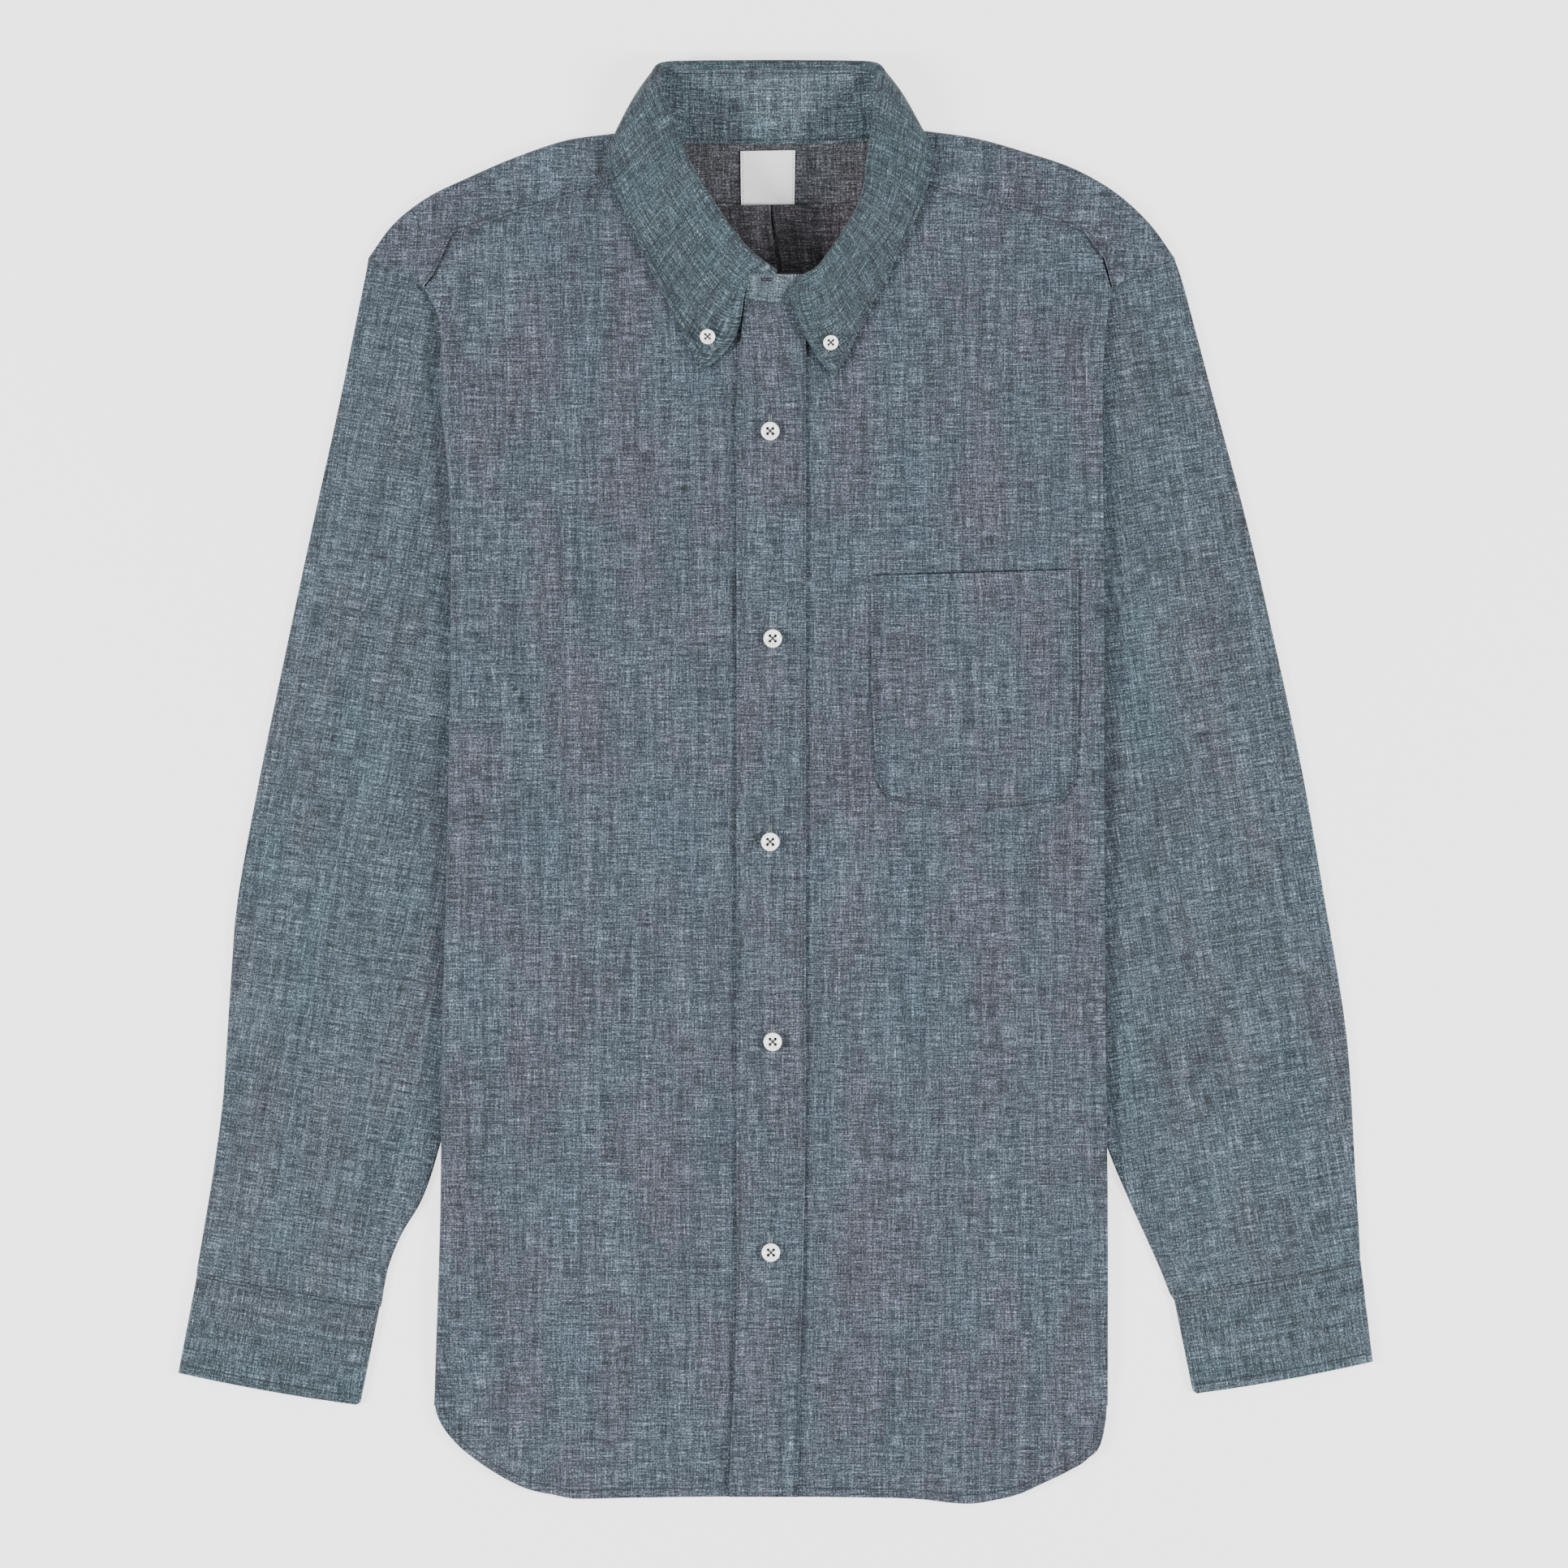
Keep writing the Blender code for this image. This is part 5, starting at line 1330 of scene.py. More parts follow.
@dataclass
class Back(Piece):
    """The back panel, on the surface, with its box pleat under the yoke."""
    foot: float = -357.0
    foot_middle: float = -401.0
    lap: float = 4.0
    pleat_depth: float = 14.0
    pleat_turn: float = 0.8
    pleat_ramp: float = 6.0
    pleat_top: float = -2.6
    pleat_foot: float = 2.2
    pleat_open: float = 0.7
    pleat_reach: float = 44.0
    down: int = 130

    def pleat(self) -> Grid:
        """Half of the box pleat: out from its middle, and height, folded three deep."""
        turn, deep = self.pleat_turn, self.pleat_depth
        low, middle, top = (LIE.floor_layer + 2 * turn * layer for layer in range(3))
        return np.array([
            (deep + turn + self.pleat_ramp, low), (deep + turn + 1.5, top - 0.3),
            (deep - 2.0, top), (turn + 2.5, top), (turn + 0.75, top), (0.95, top - 0.25),
            (0.75, top - turn), (0.95, middle + 0.25), (turn + 0.75, middle),
            (deep - turn, middle), (deep, middle - turn), (deep - turn, low),
        ])

    def grid(self) -> Grid:
        """Points of the panel, from the wearer's right side seam to the left."""
        half = self.pleat()
        top_y = YOKE_KNEE[Side.RIGHT][1] + 0.4
        side_y = mix(ARMHOLE[1].y, self.foot, np.linspace(0.0, 1.0, self.down))[:, None]
        share = (ARMHOLE[1].y - side_y) / (ARMHOLE[1].y - self.foot)
        y = mix(top_y, self.foot_middle, share)
        freed = ease((top_y - y) / self.pleat_reach)
        middle = mix(self.pleat_top, self.pleat_foot, freed)
        gap = self.pleat_open * freed
        wings = {}
        for side in Side:
            knee = YOKE_KNEE[side][0]
            seam = np.array(armhole_points(side)[:0:-1])
            foot = (getattr(SIDE_SEAM_FOOT, side.value), SIDE_SEAM_FOOT.y)
            line = np.array([foot, *seam])
            edge = np.interp(side_y, line[:, 1], line[:, 0])
            inner = LIE.sleeve_inner(side, side_y - 0.4) - 1.0
            below = side_y <= ARMHOLE[3].y
            edge = np.where(below, np.minimum(edge + self.lap, inner), edge)
            shares = np.linspace(0.0, 1.0, 34)[None, :]
            out = mix(knee, edge, shares)
            here_y = mix(y, side_y, shares)
            rise = relief(BACK_CREASES, side.sign * out, here_y)
            rise = rise * ease((1.0 - shares) * 5) * ease(shares * 5)
            wings[side] = grid_of(side.sign * out, here_y, LIE.floor_layer + np.maximum(rise, 0.0))
        heights = half[:, 1][None, :]
        outs = half[:, 0][None, :] + gap * (half[:, 0] < 4.0)[None, :]
        right = grid_of(middle - outs, y, heights)
        left = grid_of(middle + outs[:, ::-1], y, heights[:, ::-1])
        return np.concatenate([wings[Side.RIGHT][:, ::-1], right, left, wings[Side.LEFT]], axis=1)

    def build(self) -> None:
        """Make the panel."""
        grid = self.grid()
        piece = shell_of("back_cloth", grid, grain_round(grid.transpose(1, 0, 2), 3.3)
                         .transpose(1, 0, 2), self.wall, self.finish.inside)
        self.declare(piece, grid)


def ring_of(flat: int, floor: int, turn: int) -> list[tuple[str, float]]:
    """Stations round a flattened tube: top wall, inner turn, floor wall, outer turn."""
    ring = [("top", float(share)) for share in np.linspace(0.0, 1.0, flat)]
    turns = np.linspace(0.0, 1.0, turn + 2)[1:-1]
    ring += [("inner", float(share)) for share in turns]
    ring += [("floor", float(share)) for share in np.linspace(1.0, 0.0, floor)]
    ring += [("outer", float(share)) for share in turns]
    return ring + [("top", 0.0)]


def round_edge(part: str, share: float, sides: tuple[Grid, Grid], across: Grid, inset: Number,
               turn: Number, low: Number) -> tuple[Grid, Number]:
    """Place in plan and height on the rounded edge of a flattened tube.

    Args:
        part: the "inner" or the "outer" edge.
        share: how far round the turn.
        sides: the tube's outer and inner lines in plan.
        across: directions in plan from the outer line to the inner one.
        inset: how far in from its line each wall's flat part begins.
        turn: radius of the turn.
        low: height of the floor wall.

    Returns:
        Places in plan and their heights.
    """
    outer, inner = sides
    angle = math.pi * share
    reach = np.asarray(inset - turn * math.sin(angle))[..., None]
    lift = turn * math.cos(angle)
    if part == "inner":
        return inner - across * reach, low + turn + lift
    return outer + across * reach, low + turn - lift


@dataclass
class Sleeve(Piece):
    """A sleeve: a flattened tube from the armhole to the cuff."""
    side: Side = Side.RIGHT
    down: int = 200
    seam: float = -0.7
    tuck: float = 6.0
    puff: float = 3.0
    wave: float = 0.45
    lean: float = 0.175

    def end_line(self) -> Grid:
        """The sleeve's end in plan, just beside the armhole seam."""
        points = np.array(armhole_points(self.side))
        steps = np.diff(points, axis=0)
        steps /= np.linalg.norm(steps, axis=1, keepdims=True)
        ahead = np.concatenate([steps, steps[-1:]])
        behind = np.concatenate([steps[:1], steps])
        normal = ahead + behind
        normal = np.stack([-normal[:, 1], normal[:, 0]], 1)
        return points + normal / np.linalg.norm(normal, axis=1, keepdims=True) * self.seam

    def edges(self, v: Grid) -> tuple[Grid, Grid]:
        """Outer and inner edges in plan at shares v of the sleeve's length."""
        cuff, end = CUFFS[self.side], self.end_line()
        near = 1.0 - np.clip(v * 8, 0.0, 1.0)
        name = self.side.value
        lines = []
        for first, table, corner in ((end[0], SLEEVE_OUTER, cuff.top_outer),
                                     (end[-1], SLEEVE_INNER, cuff.top_inner)):
            y = mix(first[1], corner[1] + 0.4, v)
            shift = near * (first[0] - getattr(table[0], name))
            lines.append(np.stack(np.broadcast_arrays(through(table, name, y) + shift, y), -1))
        return lines[0], lines[1]

    def plan(self, u: Grid, v: Grid) -> Grid:
        """Plan position: u across from the outer edge, v down to the cuff."""
        outer, inner = self.edges(v)
        end = self.end_line()
        along = [corner.along for corner in ARMHOLE]
        ends = np.stack([np.interp(u, along, end[:, k]) for k in range(2)], -1)
        chord_line = mix(end[0], end[-1], np.asarray(u)[..., None])
        return mix(outer, inner, np.asarray(u)[..., None]) + (1 - v)[..., None] * (ends - chord_line)

    def height(self, out: Grid, y: Grid, u: Grid, v: Grid) -> Grid:
        """Height of the top wall: level under the body, a little full beside it."""
        beside = out - LIE.edge(self.side, y)
        clear = ease((beside - 12.0) / 26.0)
        rim = ease(u / 0.22) * ease((1.0 - u) / 0.05)
        below = ease((ARMHOLE[0].y - y) / 30.0)
        near_cuff = 0.25 + 0.75 * ease((1.0 - v) * 22)
        x = self.side.sign * out
        wave = self.wave * waves(x, y, seed=11, longest=130.0)
        folds = relief(SLEEVE_CREASES, x, y) + wave
        free = ease((beside - 6.0) / 20.0) * rim * near_cuff * ease(v * 12)
        return LIE.sleeve_top + self.puff * clear * rim * below * near_cuff + folds * free

    def grid(self) -> Grid:
        """Points round the sleeve and down it."""
        end = self.end_line()
        length = end[0, 1] - CUFFS[self.side].top_outer[1]
        v = np.linspace(0.0, 1.0 + self.tuck / length, self.down)
        inside = np.maximum(0.0, v - 1.0) * length / self.tuck
        low = LIE.floor_layer + 0.75 * inside
        top_edge = LIE.sleeve_top + 0.3 * inside
        turn = (top_edge - low) / 2
        columns = []
        outer, inner = self.edges(np.minimum(v, 1.0))
        cuff = CUFFS[self.side]
        down = np.array(cuff.low_outer) - np.array(cuff.top_outer)
        down = down / np.linalg.norm(down)
        past = (np.maximum(0.0, v - 1.0) * length)[:, None] * down[None]
        width = np.linalg.norm(inner - outer, axis=1)
        across = (inner - outer) / width[:, None]
        inset = turn + self.wall / 2 + 3.2 * inside
        for part, share in ring_of(flat=60, floor=14, turn=5):
            if part in ("top", "floor"):
                u = mix(inset / width, 1 - inset / width, share)
                spot = self.plan(u, np.minimum(v, 1.0)) + past
                high = self.height(spot[:, 0], spot[:, 1], np.full(len(v), share), v)
                z = mix(high, top_edge, inside) if part == "top" else low
            else:
                spot, z = round_edge(part, share, (outer, inner), across, inset, turn, low)
                spot = spot + past
            columns.append(grid_of(self.side.sign * spot[:, 0], spot[:, 1], z))
        return np.stack(columns, axis=1)

    def build(self) -> None:
        """Make the sleeve."""
        grid = self.grid()
        angle = self.side.sign * self.lean
        grain = grain_plan(grid, angle, shift=4.4 if self.side is Side.LEFT else 5.6)
        piece = shell_of(self.name + "_cloth", grid, grain, self.wall, self.finish.sleeve,
                         closed=True)
        self.declare(piece, grid)


@dataclass
class CuffBand(Piece):
    """A buttoned cuff: a flat band round the sleeve's end."""
    side: Side = Side.RIGHT
    wall: float = 0.9
    rise: float = 0.6
    crown: float = 1.4
    bow: float = 1.1
    corner: float = 2.2
    lean: float = 0.18
    top_points: int = 52
    down: int = 34

    def grid(self) -> Grid:
        """Points round the band and down it."""
        cuff = CUFFS[self.side]
        v = np.linspace(0.0, 1.0, self.down)[:, None]
        outer = mix(np.array(cuff.top_outer), np.array(cuff.low_outer), v)
        inner = mix(np.array(cuff.top_inner), np.array(cuff.low_inner), v)
        across = (inner - outer) / np.linalg.norm(inner - outer, axis=1, keepdims=True)
        near_foot = np.clip((v - 0.95) / 0.05, 0.0, 1.0)
        inner = inner - across * self.corner * (1 - np.sqrt(1 - near_foot ** 2 * 0.999))
        width = np.linalg.norm(inner - outer, axis=1, keepdims=True)
        floor, rim = self.wall / 2, LIE.sleeve_top + self.rise
        turn = (rim - floor) / 2
        inset = turn + self.wall / 2
        columns = []
        for part, share in ring_of(flat=self.top_points, floor=26, turn=5):
            if part in ("top", "floor"):
                u = mix(inset / width, 1 - inset / width, share)
                sag = self.bow * 4 * u * (1 - u)
                spot = mix(outer, inner, u) + np.stack([-across[:, 1], across[:, 0]], 1) * sag
                swell = self.crown * math.sin(math.pi * share)
                ripple = 0.12 * np.sin(v[:, 0] * 5 + share * 23) * math.sin(math.pi * share)
                z = rim + swell + ripple if part == "top" else floor
            else:
                spot, z = round_edge(part, share, (outer, inner), across, inset, turn, floor)
            columns.append(grid_of(self.side.sign * spot[:, 0], spot[:, 1], z))
        return np.stack(columns, axis=1)

    def stitch_lines(self, grid: Grid) -> list[Grid]:
        """Rows beside the sleeve seam and the lower edge."""
        lift = np.array([0.0, 0.0, self.over()])
        across = slice(1, self.top_points - 1)
        return [grid[1, across] + lift, grid[-4, across] + lift]

    def build(self) -> None:
        """Make the cuff and its stitches."""
        grid = self.grid()
        angle = math.pi / 2 + self.side.sign * self.lean
        grain = grain_plan(grid, angle, shift=6.7 if self.side is Side.LEFT else 7.3)
        piece = shell_of(self.name + "_cloth", grid, grain, self.wall, self.finish.cuff, closed=True)
        self.declare(piece, grid, *self.topstitch(self.stitch_lines(grid)))


@dataclass
class Placket(Piece):
    """The front band, lying on both fronts' edges."""
    wall: float = 0.9
    row_lift: float = 0.03
    lift: float = 1.15
    to_stand: float = 2.7
    top: float = 274.4
    across: int = 22
    down: int = 320
    edge_row: float = 1.3
    box_y: float = -309.0

    def at(self, share: Number, y: Number, lift: float = 0.0) -> Grid:
        """Point on the band's middle: share across from its inner edge, at height y."""
        x = mix(through(PLACKET, "inner", y), through(PLACKET, "outer", y), share)
        soft = 0.10 * np.sin(np.asarray(y) / 9.0) + 0.06 * np.sin(np.asarray(y) / 4.1)
        rise = self.to_stand * ease((np.asarray(y) - 254.0) / 20.0)
        return grid_of(x, y, LIE.top(x, y) + self.lift + soft * (share < 0.9) + rise + lift)

    def grid(self) -> Grid:
        """Points across the band and down it."""
        share = np.linspace(0.0, 1.0, self.across)[None, :]
        y = np.linspace(self.top, PLACKET[-1].y, self.down)[:, None]
        grid = self.at(share, y)
        grid[..., 2] += 0.6 * (1.0 - ease(share * 14)) + 0.2 * ease((share - 0.93) / 0.07)
        return grid

    def stitch_lines(self) -> list[Grid]:
        """A row beside each long edge, and the row that closes the band near the hem."""
        width = PLACKET[4].outer - PLACKET[4].inner
        y = np.linspace(PLACKET[0].y - 1.0, PLACKET[-1].y + 4.0, 330)
        edge = self.edge_row / width
        rows = [self.at(share, y, self.over()) for share in (edge, 1.0 - edge)]
        across = np.linspace(0.06, 0.94, 18)
        rows.append(self.at(across, np.full(18, self.box_y), self.over()))
        return rows

    def eyelet_lines(self, places: Sequence[tuple[float, float]]) -> list[Grid]:
        """Both sides of each buttonhole."""
        rows = []
        for x, y in places:
            span = np.linspace(y - 8.6, y + 9.6, 24)
            for side in (-0.62, 0.62):
                here = np.full(24, x + side)
                rows.append(grid_of(here, span, LIE.top(here, span) + self.lift + self.wall / 2))
        return rows

    def build(self, buttons: Sequence[tuple[float, float]]) -> None:
        """Make the band, its stitches and its buttonholes."""
        grid = self.grid()
        piece = shell_of("placket_cloth", grid, grain_plan(grid, shift=8.2), self.wall,
                         self.finish.body)
        holes = EYELET.sewn("placket_buttonholes", self.eyelet_lines(buttons),
                            self.finish.pale_thread)
        self.declare(piece, grid, *self.topstitch(self.stitch_lines()), holes)


@dataclass
class Pocket(Piece):
    """The chest pocket, sewn down on three sides and open along its top."""
    wall: float = 0.6
    row_lift: float = 0.02
    lift: float = 1.3
    droop: float = 5.0
    mouth_lift: float = 2.0
    mouth_from: float = 106.0
    mouth_ramp: float = 12.6
    across: int = 56
    down: int = 62
    insets: tuple[float, float] = (1.4, 3.2)
    second_row: float = 6.4
    bar_drop: float = 22.0

    def at(self, share: Number, y: Number, lift: float = 0.0) -> Grid:
        """Point on the pocket's middle: share across from its inner edge, at height y."""
        x = mix(straight(POCKET, "inner", y), straight(POCKET, "outer", y), share)
        sag = self.droop * np.sin(math.pi * share) * ease((25.0 - np.asarray(y)) / 36.0)
        slant = 3.4 * (np.asarray(share) - 0.5) * ease((np.asarray(y) - 20.0) / 98.0)
        here = y - sag + slant
        return grid_of(x, here, LIE.top(x, here) + self.lift + lift)

    def grid(self) -> Grid:
        """Points across the pocket and down it."""
        share = np.linspace(0.0, 1.0, self.across)[None, :]
        y = np.linspace(POCKET[0].y, POCKET[-1].y, self.down)[:, None]
        grid = self.at(share, y)
        width = POCKET[0].outer - POCKET[0].inner
        rim = np.minimum(np.minimum(share, 1 - share) * width, y - POCKET[-1].y)
        mouth = self.mouth_lift * ease((y - self.mouth_from) / self.mouth_ramp)
        grid[..., 2] += -0.1 * (1 - ease(rim / 3.0)) + mouth * (4 * share * (1 - share)) ** 0.5
        return grid

    def stitch_lines(self) -> list[Grid]:
        """Two rows down each side and along the foot, and a bar at each top corner."""
        width = POCKET[0].outer - POCKET[0].inner
        lift, top = self.over(), POCKET[0].y
        rows = []
        for inset in self.insets:
            low = POCKET[-1].y + inset
            y = np.linspace(top - 0.5, low, 60)
            share = np.full(60, inset / width)
            foot = np.linspace(inset / width, 1 - inset / width, 40)
            rows += [self.at(share, y, lift), self.at(1 - share, y, lift),
                     self.at(foot, np.full(40, low), lift)]
        for edge in (0.0, 1.0):
            near = abs(edge - self.insets[0] / width)
            far = abs(edge - self.second_row / width)
            y = np.linspace(top - 0.6, top - self.bar_drop, 12)
            rows.append(self.at(np.full(12, far), y, lift))
            for bar in (top - 0.8, top - self.bar_drop):
                rows.append(self.at(np.linspace(near, far, 6), np.full(6, bar), lift))
        return rows

    def build(self) -> None:
        """Make the pocket and its stitches."""
        grid = self.grid()
        piece = shell_of("pocket_cloth", grid, grain_plan(grid, shift=9.1), self.wall,
                         self.finish.body)
        self.declare(piece, grid, *self.topstitch(self.stitch_lines()))


@dataclass
class NeckLabel(Piece):
    """The woven label on the inside of the yoke, left plain."""
    wall: float = 0.4
    slot: str = "label"
    height: float = 1.25

    def grid(self) -> Grid:
        """Points across the label and down it."""
        share = np.linspace(-0.5, 0.5, 26)[None, :]
        along = np.linspace(0.5, -0.5, 26)[:, None]
        x = LABEL_MIDDLE[0] + share * (LABEL_SIZE[0] + 0.8 * along)
        y = LABEL_MIDDLE[1] + along * LABEL_SIZE[1] + 0.5 * share
        swell = 0.35 * (1 - (2 * share) ** 2) * (1 - (2 * along) ** 4)
        return grid_of(x, y, self.height + swell)

    def build(self) -> None:
        """Make the label and the stitches that hold its ends."""
        grid = self.grid()
        piece = shell_of("neck_label_cloth", grid, grain_plan(grid), self.wall, self.finish.label)
        lift = np.array([0.0, 0.0, self.wall / 2])
        rows = TOPSTITCH.sewn("neck_label_stitching", [grid[:, 1] + lift, grid[:, -2] + lift],
                              self.finish.pale_thread)
        self.declare(piece, grid, rows)


@dataclass(frozen=True)
class CollarForm:
    """The collar's sections, from the wearer's right front round the neck to the left."""
    roll_r: float = 1.9
    fall_seam: float = 5.0
    sink: float = 0.55
    end_rise: float = 6.2
    leaf_clear: float = 2.7
    front_below: float = 340.0
    neck: Grid = field(default_factory=lambda: CollarForm.gather(0))
    roll: Grid = field(default_factory=lambda: CollarForm.gather(3))
    edge: Grid = field(default_factory=lambda: CollarForm.gather(6))
    bow: Grid = field(default_factory=lambda: CollarForm.gather(9))

    @staticmethod
    def gather(first: int) -> Grid:
        """Three columns of the collar's table as places, all the way round."""
        rows = []
        for side in Side:
            table = np.array(COLLAR[side])
            table = np.concatenate([table, np.zeros((len(table), 1))], axis=1)
            spots = table[:, first:first + 3] * np.array([side.sign, 1.0, 1.0])
            rows.append(spots if side is Side.RIGHT else spots[::-1])
        return np.concatenate(rows)

    def stations(self) -> Grid:
        """Length round the collar at each section."""
        return chord((self.roll + self.edge) / 2)

    def read(self, points: Grid, at: Grid) -> Grid:
        """Places between the sections."""
        return curve(self.stations(), points, at, steady=False)

    def frames(self, at: Grid) -> tuple[Grid, Grid, Grid]:
        """The roll, and the directions up the stand and out over the fall."""
        neck, roll, edge = (self.read(points, at) for points in (self.neck, self.roll, self.edge))
        up = (roll - neck) / np.linalg.norm(roll - neck, axis=1, keepdims=True)
        reach = edge - roll
        out = reach - up * (reach * up).sum(1, keepdims=True)
        return roll, up, out / np.linalg.norm(out, axis=1, keepdims=True)

    def front_pulls(self, at: Grid) -> list[Grid]:
        """How far the leaf's front edges are pulled from their plain curve."""
        stations = self.stations()
        pulls = []
        for k in (0, 1):
            total = np.zeros((len(at), 3))
            for side, end, beside in ((Side.RIGHT, 0, 1), (Side.LEFT, -1, -2)):
                reach = abs(stations[beside] - stations[end])
                fade = np.clip(1.0 - np.abs(at - stations[end]) / reach, 0.0, 1.0) ** 2
                out, up = LEAF_FRONT[side][k]
                total += fade[:, None] * np.array([side.sign * out, up, 0.0])
            pulls.append(total)
        return pulls

    def fall(self, at: Grid, flat: int = 34) -> Grid:
        """Points of the fall: the stand seam, the roll, then down the leaf."""
        roll, up, out = self.frames(at)
        radius = self.roll_r
        columns = [roll - up * (self.fall_seam - step) - out * (1.0 - step / 2) for step in (0.0, 1.6)]
        centre = roll - up * radius + out * radius
        for angle in np.linspace(0.0, math.pi, 11):
            columns.append(centre - out * radius * math.cos(angle) + up * radius * math.sin(angle))
        start = roll - up * radius + out * 2 * radius
        edge, bow = self.read(self.edge, at), self.read(self.bow, at)
        bow[:, 2] = mix(start[:, 2], edge[:, 2], self.sink)
        pulls = self.front_pulls(at)
        near = start + (bow - start) * 2 / 3 + pulls[0]
        far = edge + (bow - edge) * 2 / 3 + pulls[1]
        for t in np.linspace(0.0, 1.0, flat)[1:]:
            leaf = (start * (1 - t) ** 3 + near * 3 * t * (1 - t) ** 2
                    + far * 3 * t ** 2 * (1 - t) + edge * t ** 3)
            fade = math.sin(math.pi * t) ** 0.6 if t < 1 else 0.0
            leaf[:, 2] += relief(LEAF_CREASES, leaf[:, 0], leaf[:, 1]) * fade
            columns.append(leaf)
        grid = np.stack(columns, axis=1)
        leaf = grid[:, LEAF_START:]
        lowest = LIE.top(leaf[..., 0], leaf[..., 1]) + self.leaf_clear
        on_front = leaf[..., 1] < self.front_below
        leaf[..., 2] = np.where(on_front, np.maximum(leaf[..., 2], lowest), leaf[..., 2])
        return grid

    def stand(self, rows: int = 16) -> Grid:
        """Points of the stand, from its right front end round to its left, by column up."""
        stations = self.stations()
        roll, up, out = self.frames(stations)
        low = self.neck - up * 2.6 + np.array([0.0, 0.0, 0.35])
        high = roll - up * (self.fall_seam - 1.0) + out * 0.25
        high[-1] += up[-1] * self.end_rise
        ends = []
        for side, k in ((Side.RIGHT, 0), (Side.LEFT, -1)):
            flip = np.array([side.sign, 1.0, 1.0])
            end = [np.array(corner) * flip for corner in STAND_END[side]]
            ends.append([end, [mix(low[k], end[0], 0.5), mix(high[k], end[1], 0.5)]])
        low = np.stack([ends[0][0][0], ends[0][1][0], *low, ends[1][1][0], ends[1][0][0]])
        high = np.stack([ends[0][0][1], ends[0][1][1], *high, ends[1][1][1], ends[1][0][1]])
        places = chord((low + high) / 2)
        at = np.linspace(0.0, places[-1], 240)
        low, high = (curve(places, line, at, steady=False) for line in (low, high))
        shares = np.linspace(0.0, 1.0, rows)[None, :, None]
        return mix(low[:, None], high[:, None], shares)


@dataclass
class Collar(Piece):
    """One of the collar's two pieces: the stand, or the fall that rolls over it."""
    form: CollarForm = field(default_factory=CollarForm)
    wall: float = 0.9
    fall: bool = True
    neck_height: float = 30.0

    def grid(self) -> Grid:
        """Points round the collar, by column from the seam to the free edge."""
        if not self.fall:
            return self.form.stand()
        at = np.linspace(0.0, self.form.stations()[-1], 300)
        return self.form.fall(at)

    def stitch_lines(self, grid: Grid) -> list[Grid]:
        """Rows beside the free edges."""
        normal = np.cross(np.gradient(grid, axis=0), np.gradient(grid, axis=1))
        normal /= np.linalg.norm(normal, axis=2, keepdims=True)
        if not self.fall:
            inward = np.array([*LIE.neck_centre, self.neck_height]) - grid
            normal *= np.sign((normal * inward).sum(2, keepdims=True))
            raised = grid + normal * self.over()
            return [raised[2:-2, 14], mix(raised[2:-2, 0], raised[2:-2, 1], 0.8)]
        normal *= np.where(normal[..., 2:] < 0, -1.0, 1.0)
        raised = grid + normal * self.over()
        leaf = slice(LEAF_START + 1, -3)
        return [raised[3:-3, -3], raised[2, leaf], raised[-3, leaf]]

    def build(self) -> Grid:
        """Make the piece and its stitches, and return its points."""
        grid = self.grid()
        grain = grain_round(grid, 10.3 if self.fall else 11.9)
        cloth = self.finish.collar if self.fall else self.finish.stand
        piece = shell_of(self.name + "_cloth", grid, grain, self.wall, cloth)
        self.declare(piece, grid, *self.topstitch(self.stitch_lines(grid)))
        return grid


